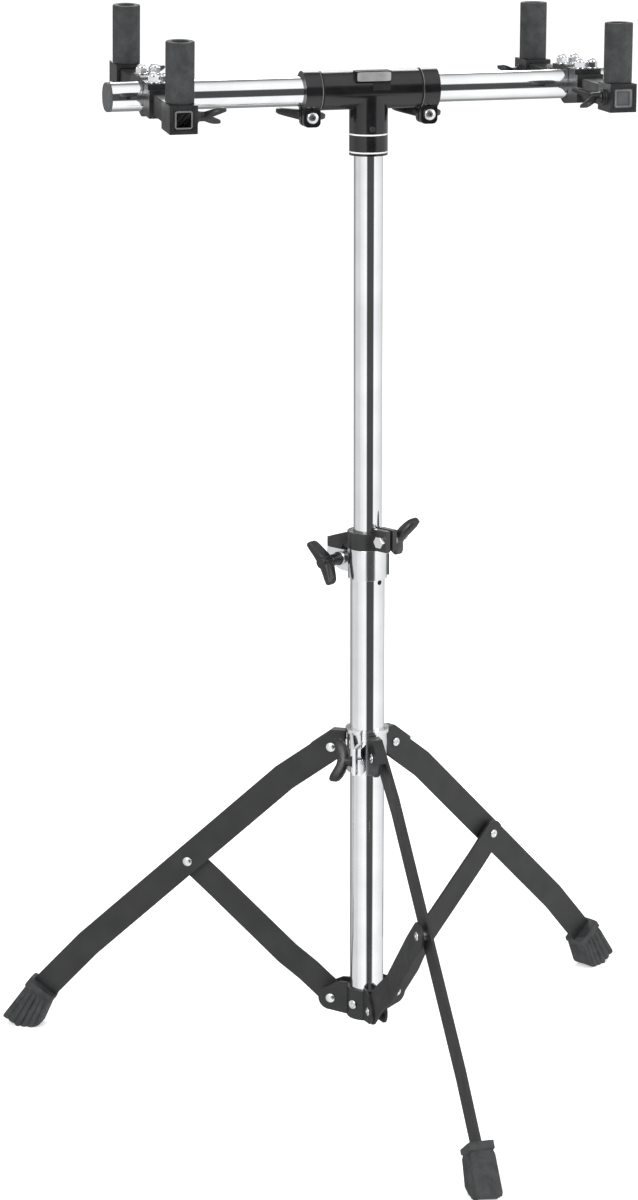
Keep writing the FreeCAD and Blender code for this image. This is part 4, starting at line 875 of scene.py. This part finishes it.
def make_floor():
    """A pale floor."""
    bpy.ops.mesh.primitive_plane_add(size=40.0, location=(0, 0, 0))
    floor = bpy.context.object
    floor.name = "floor"
    material, _, shader = new_material("pale_floor", Roughness=0.8)
    shader.inputs["Base Color"].default_value = (0.9, 0.9, 0.9, 1)
    shader.inputs["Emission Color"].default_value = (1, 1, 1, 1)
    shader.inputs["Emission Strength"].default_value = 0.42
    floor.data.materials.append(material)
    # the metal mirrors the studio, not the floor
    floor.visible_glossy = False


def make_world():
    """Soft studio surroundings with one dark patch; the camera sees them white."""
    world = bpy.data.worlds.new("studio")
    bpy.context.scene.world = world
    world.use_nodes = True
    tree = world.node_tree
    background = tree.nodes["Background"]
    coordinates = tree.nodes.new("ShaderNodeTexCoord")
    split = tree.nodes.new("ShaderNodeSeparateXYZ")
    angle = tree.nodes.new("ShaderNodeMath")
    angle.operation = "ARCTAN2"
    tree.links.new(coordinates.outputs["Generated"], split.inputs["Vector"])
    tree.links.new(split.outputs["Y"], angle.inputs[0])
    tree.links.new(split.outputs["X"], angle.inputs[1])
    share = tree.nodes.new("ShaderNodeMapRange")
    share.inputs["From Min"].default_value = -math.pi
    share.inputs["From Max"].default_value = math.pi
    tree.links.new(angle.outputs["Value"], share.inputs["Value"])
    ramp = tree.nodes.new("ShaderNodeValToRGB")
    ramp.color_ramp.interpolation = "EASE"
    while len(ramp.color_ramp.elements) > 1:
        ramp.color_ramp.elements.remove(ramp.color_ramp.elements[-1])
    # brightness of the surroundings by azimuth: light in front, dimmer behind
    for index, (azimuth, level) in enumerate(STUDIO):
        position = (azimuth + 180.0) / 360.0
        element = ramp.color_ramp.elements[0] if index == 0 else ramp.color_ramp.elements.new(position)
        element.position = position
        element.color = (level, level, level, 1)
    tree.links.new(share.outputs["Result"], ramp.inputs["Fac"])
    # a soft dark patch: how nearly a direction points at its middle
    patch = tree.nodes.new("ShaderNodeVectorMath")
    patch.operation = "DOT_PRODUCT"
    tree.links.new(coordinates.outputs["Generated"], patch.inputs[0])
    patch.inputs[1].default_value = PATCH_DIRECTION
    fade = tree.nodes.new("ShaderNodeMapRange")
    fade.interpolation_type = "SMOOTHSTEP"
    fade.inputs["From Min"].default_value = PATCH_EDGE
    fade.inputs["From Max"].default_value = PATCH_CORE
    fade.inputs["To Min"].default_value = 1.0
    fade.inputs["To Max"].default_value = PATCH_LEVEL
    tree.links.new(patch.outputs["Value"], fade.inputs["Value"])
    shaded = tree.nodes.new("ShaderNodeVectorMath")
    shaded.operation = "SCALE"
    tree.links.new(ramp.outputs["Color"], shaded.inputs[0])
    tree.links.new(fade.outputs["Result"], shaded.inputs["Scale"])
    path = tree.nodes.new("ShaderNodeLightPath")
    mix = tree.nodes.new("ShaderNodeMix")
    mix.data_type = "RGBA"
    tree.links.new(path.outputs["Is Camera Ray"], mix.inputs["Factor"])
    tree.links.new(shaded.outputs["Vector"], mix.inputs["A"])
    mix.inputs["B"].default_value = (1, 1, 1, 1)
    tree.links.new(mix.outputs["Result"], background.inputs["Color"])
    background.inputs["Strength"].default_value = 1.0


def make_lights():
    """Soft lights aimed at the middle of the stand."""
    for name, place, size, power in LIGHTS:
        light = bpy.data.lights.new(name, "AREA")
        light.size = size
        light.energy = power
        lamp = bpy.data.objects.new(name, light)
        lamp.location = place
        direction = LIGHT_TARGET - Vector(place)
        lamp.rotation_euler = direction.to_track_quat("-Z", "Y").to_euler()
        bpy.context.scene.collection.objects.link(lamp)


def make_camera():
    """The camera, placed by its own axes."""
    scene = bpy.context.scene
    camera = bpy.data.cameras.new("camera")
    camera.lens = CAMERA_LENS
    camera.sensor_width = 36.0
    camera.clip_end = 100.0
    holder = bpy.data.objects.new("camera", camera)
    forward = CAMERA_FORWARD.normalized()
    right = CAMERA_RIGHT.normalized()
    up = right.cross(forward)
    matrix = Matrix((right, up, -forward)).transposed().to_4x4()
    matrix.translation = CAMERA_PLACE
    holder.matrix_world = matrix
    scene.collection.objects.link(holder)
    scene.camera = holder
    scene.view_settings.view_transform = "Standard"


def main():
    """The whole stand on its stage."""
    dress()
    make_rivets()
    for name in LEG_AZIMUTHS:
        make_boot(name)
    make_all_wings()
    for side in SIDES:
        make_rail_plugs(side)
        make_arm_bolts(side)
        make_bar_end(side)
        for end in ENDS:
            make_post(side, end)
    make_clamp_bolts()
    make_head_trim()
    make_index_hole()
    make_floor()
    make_world()
    make_lights()
    make_camera()


main()
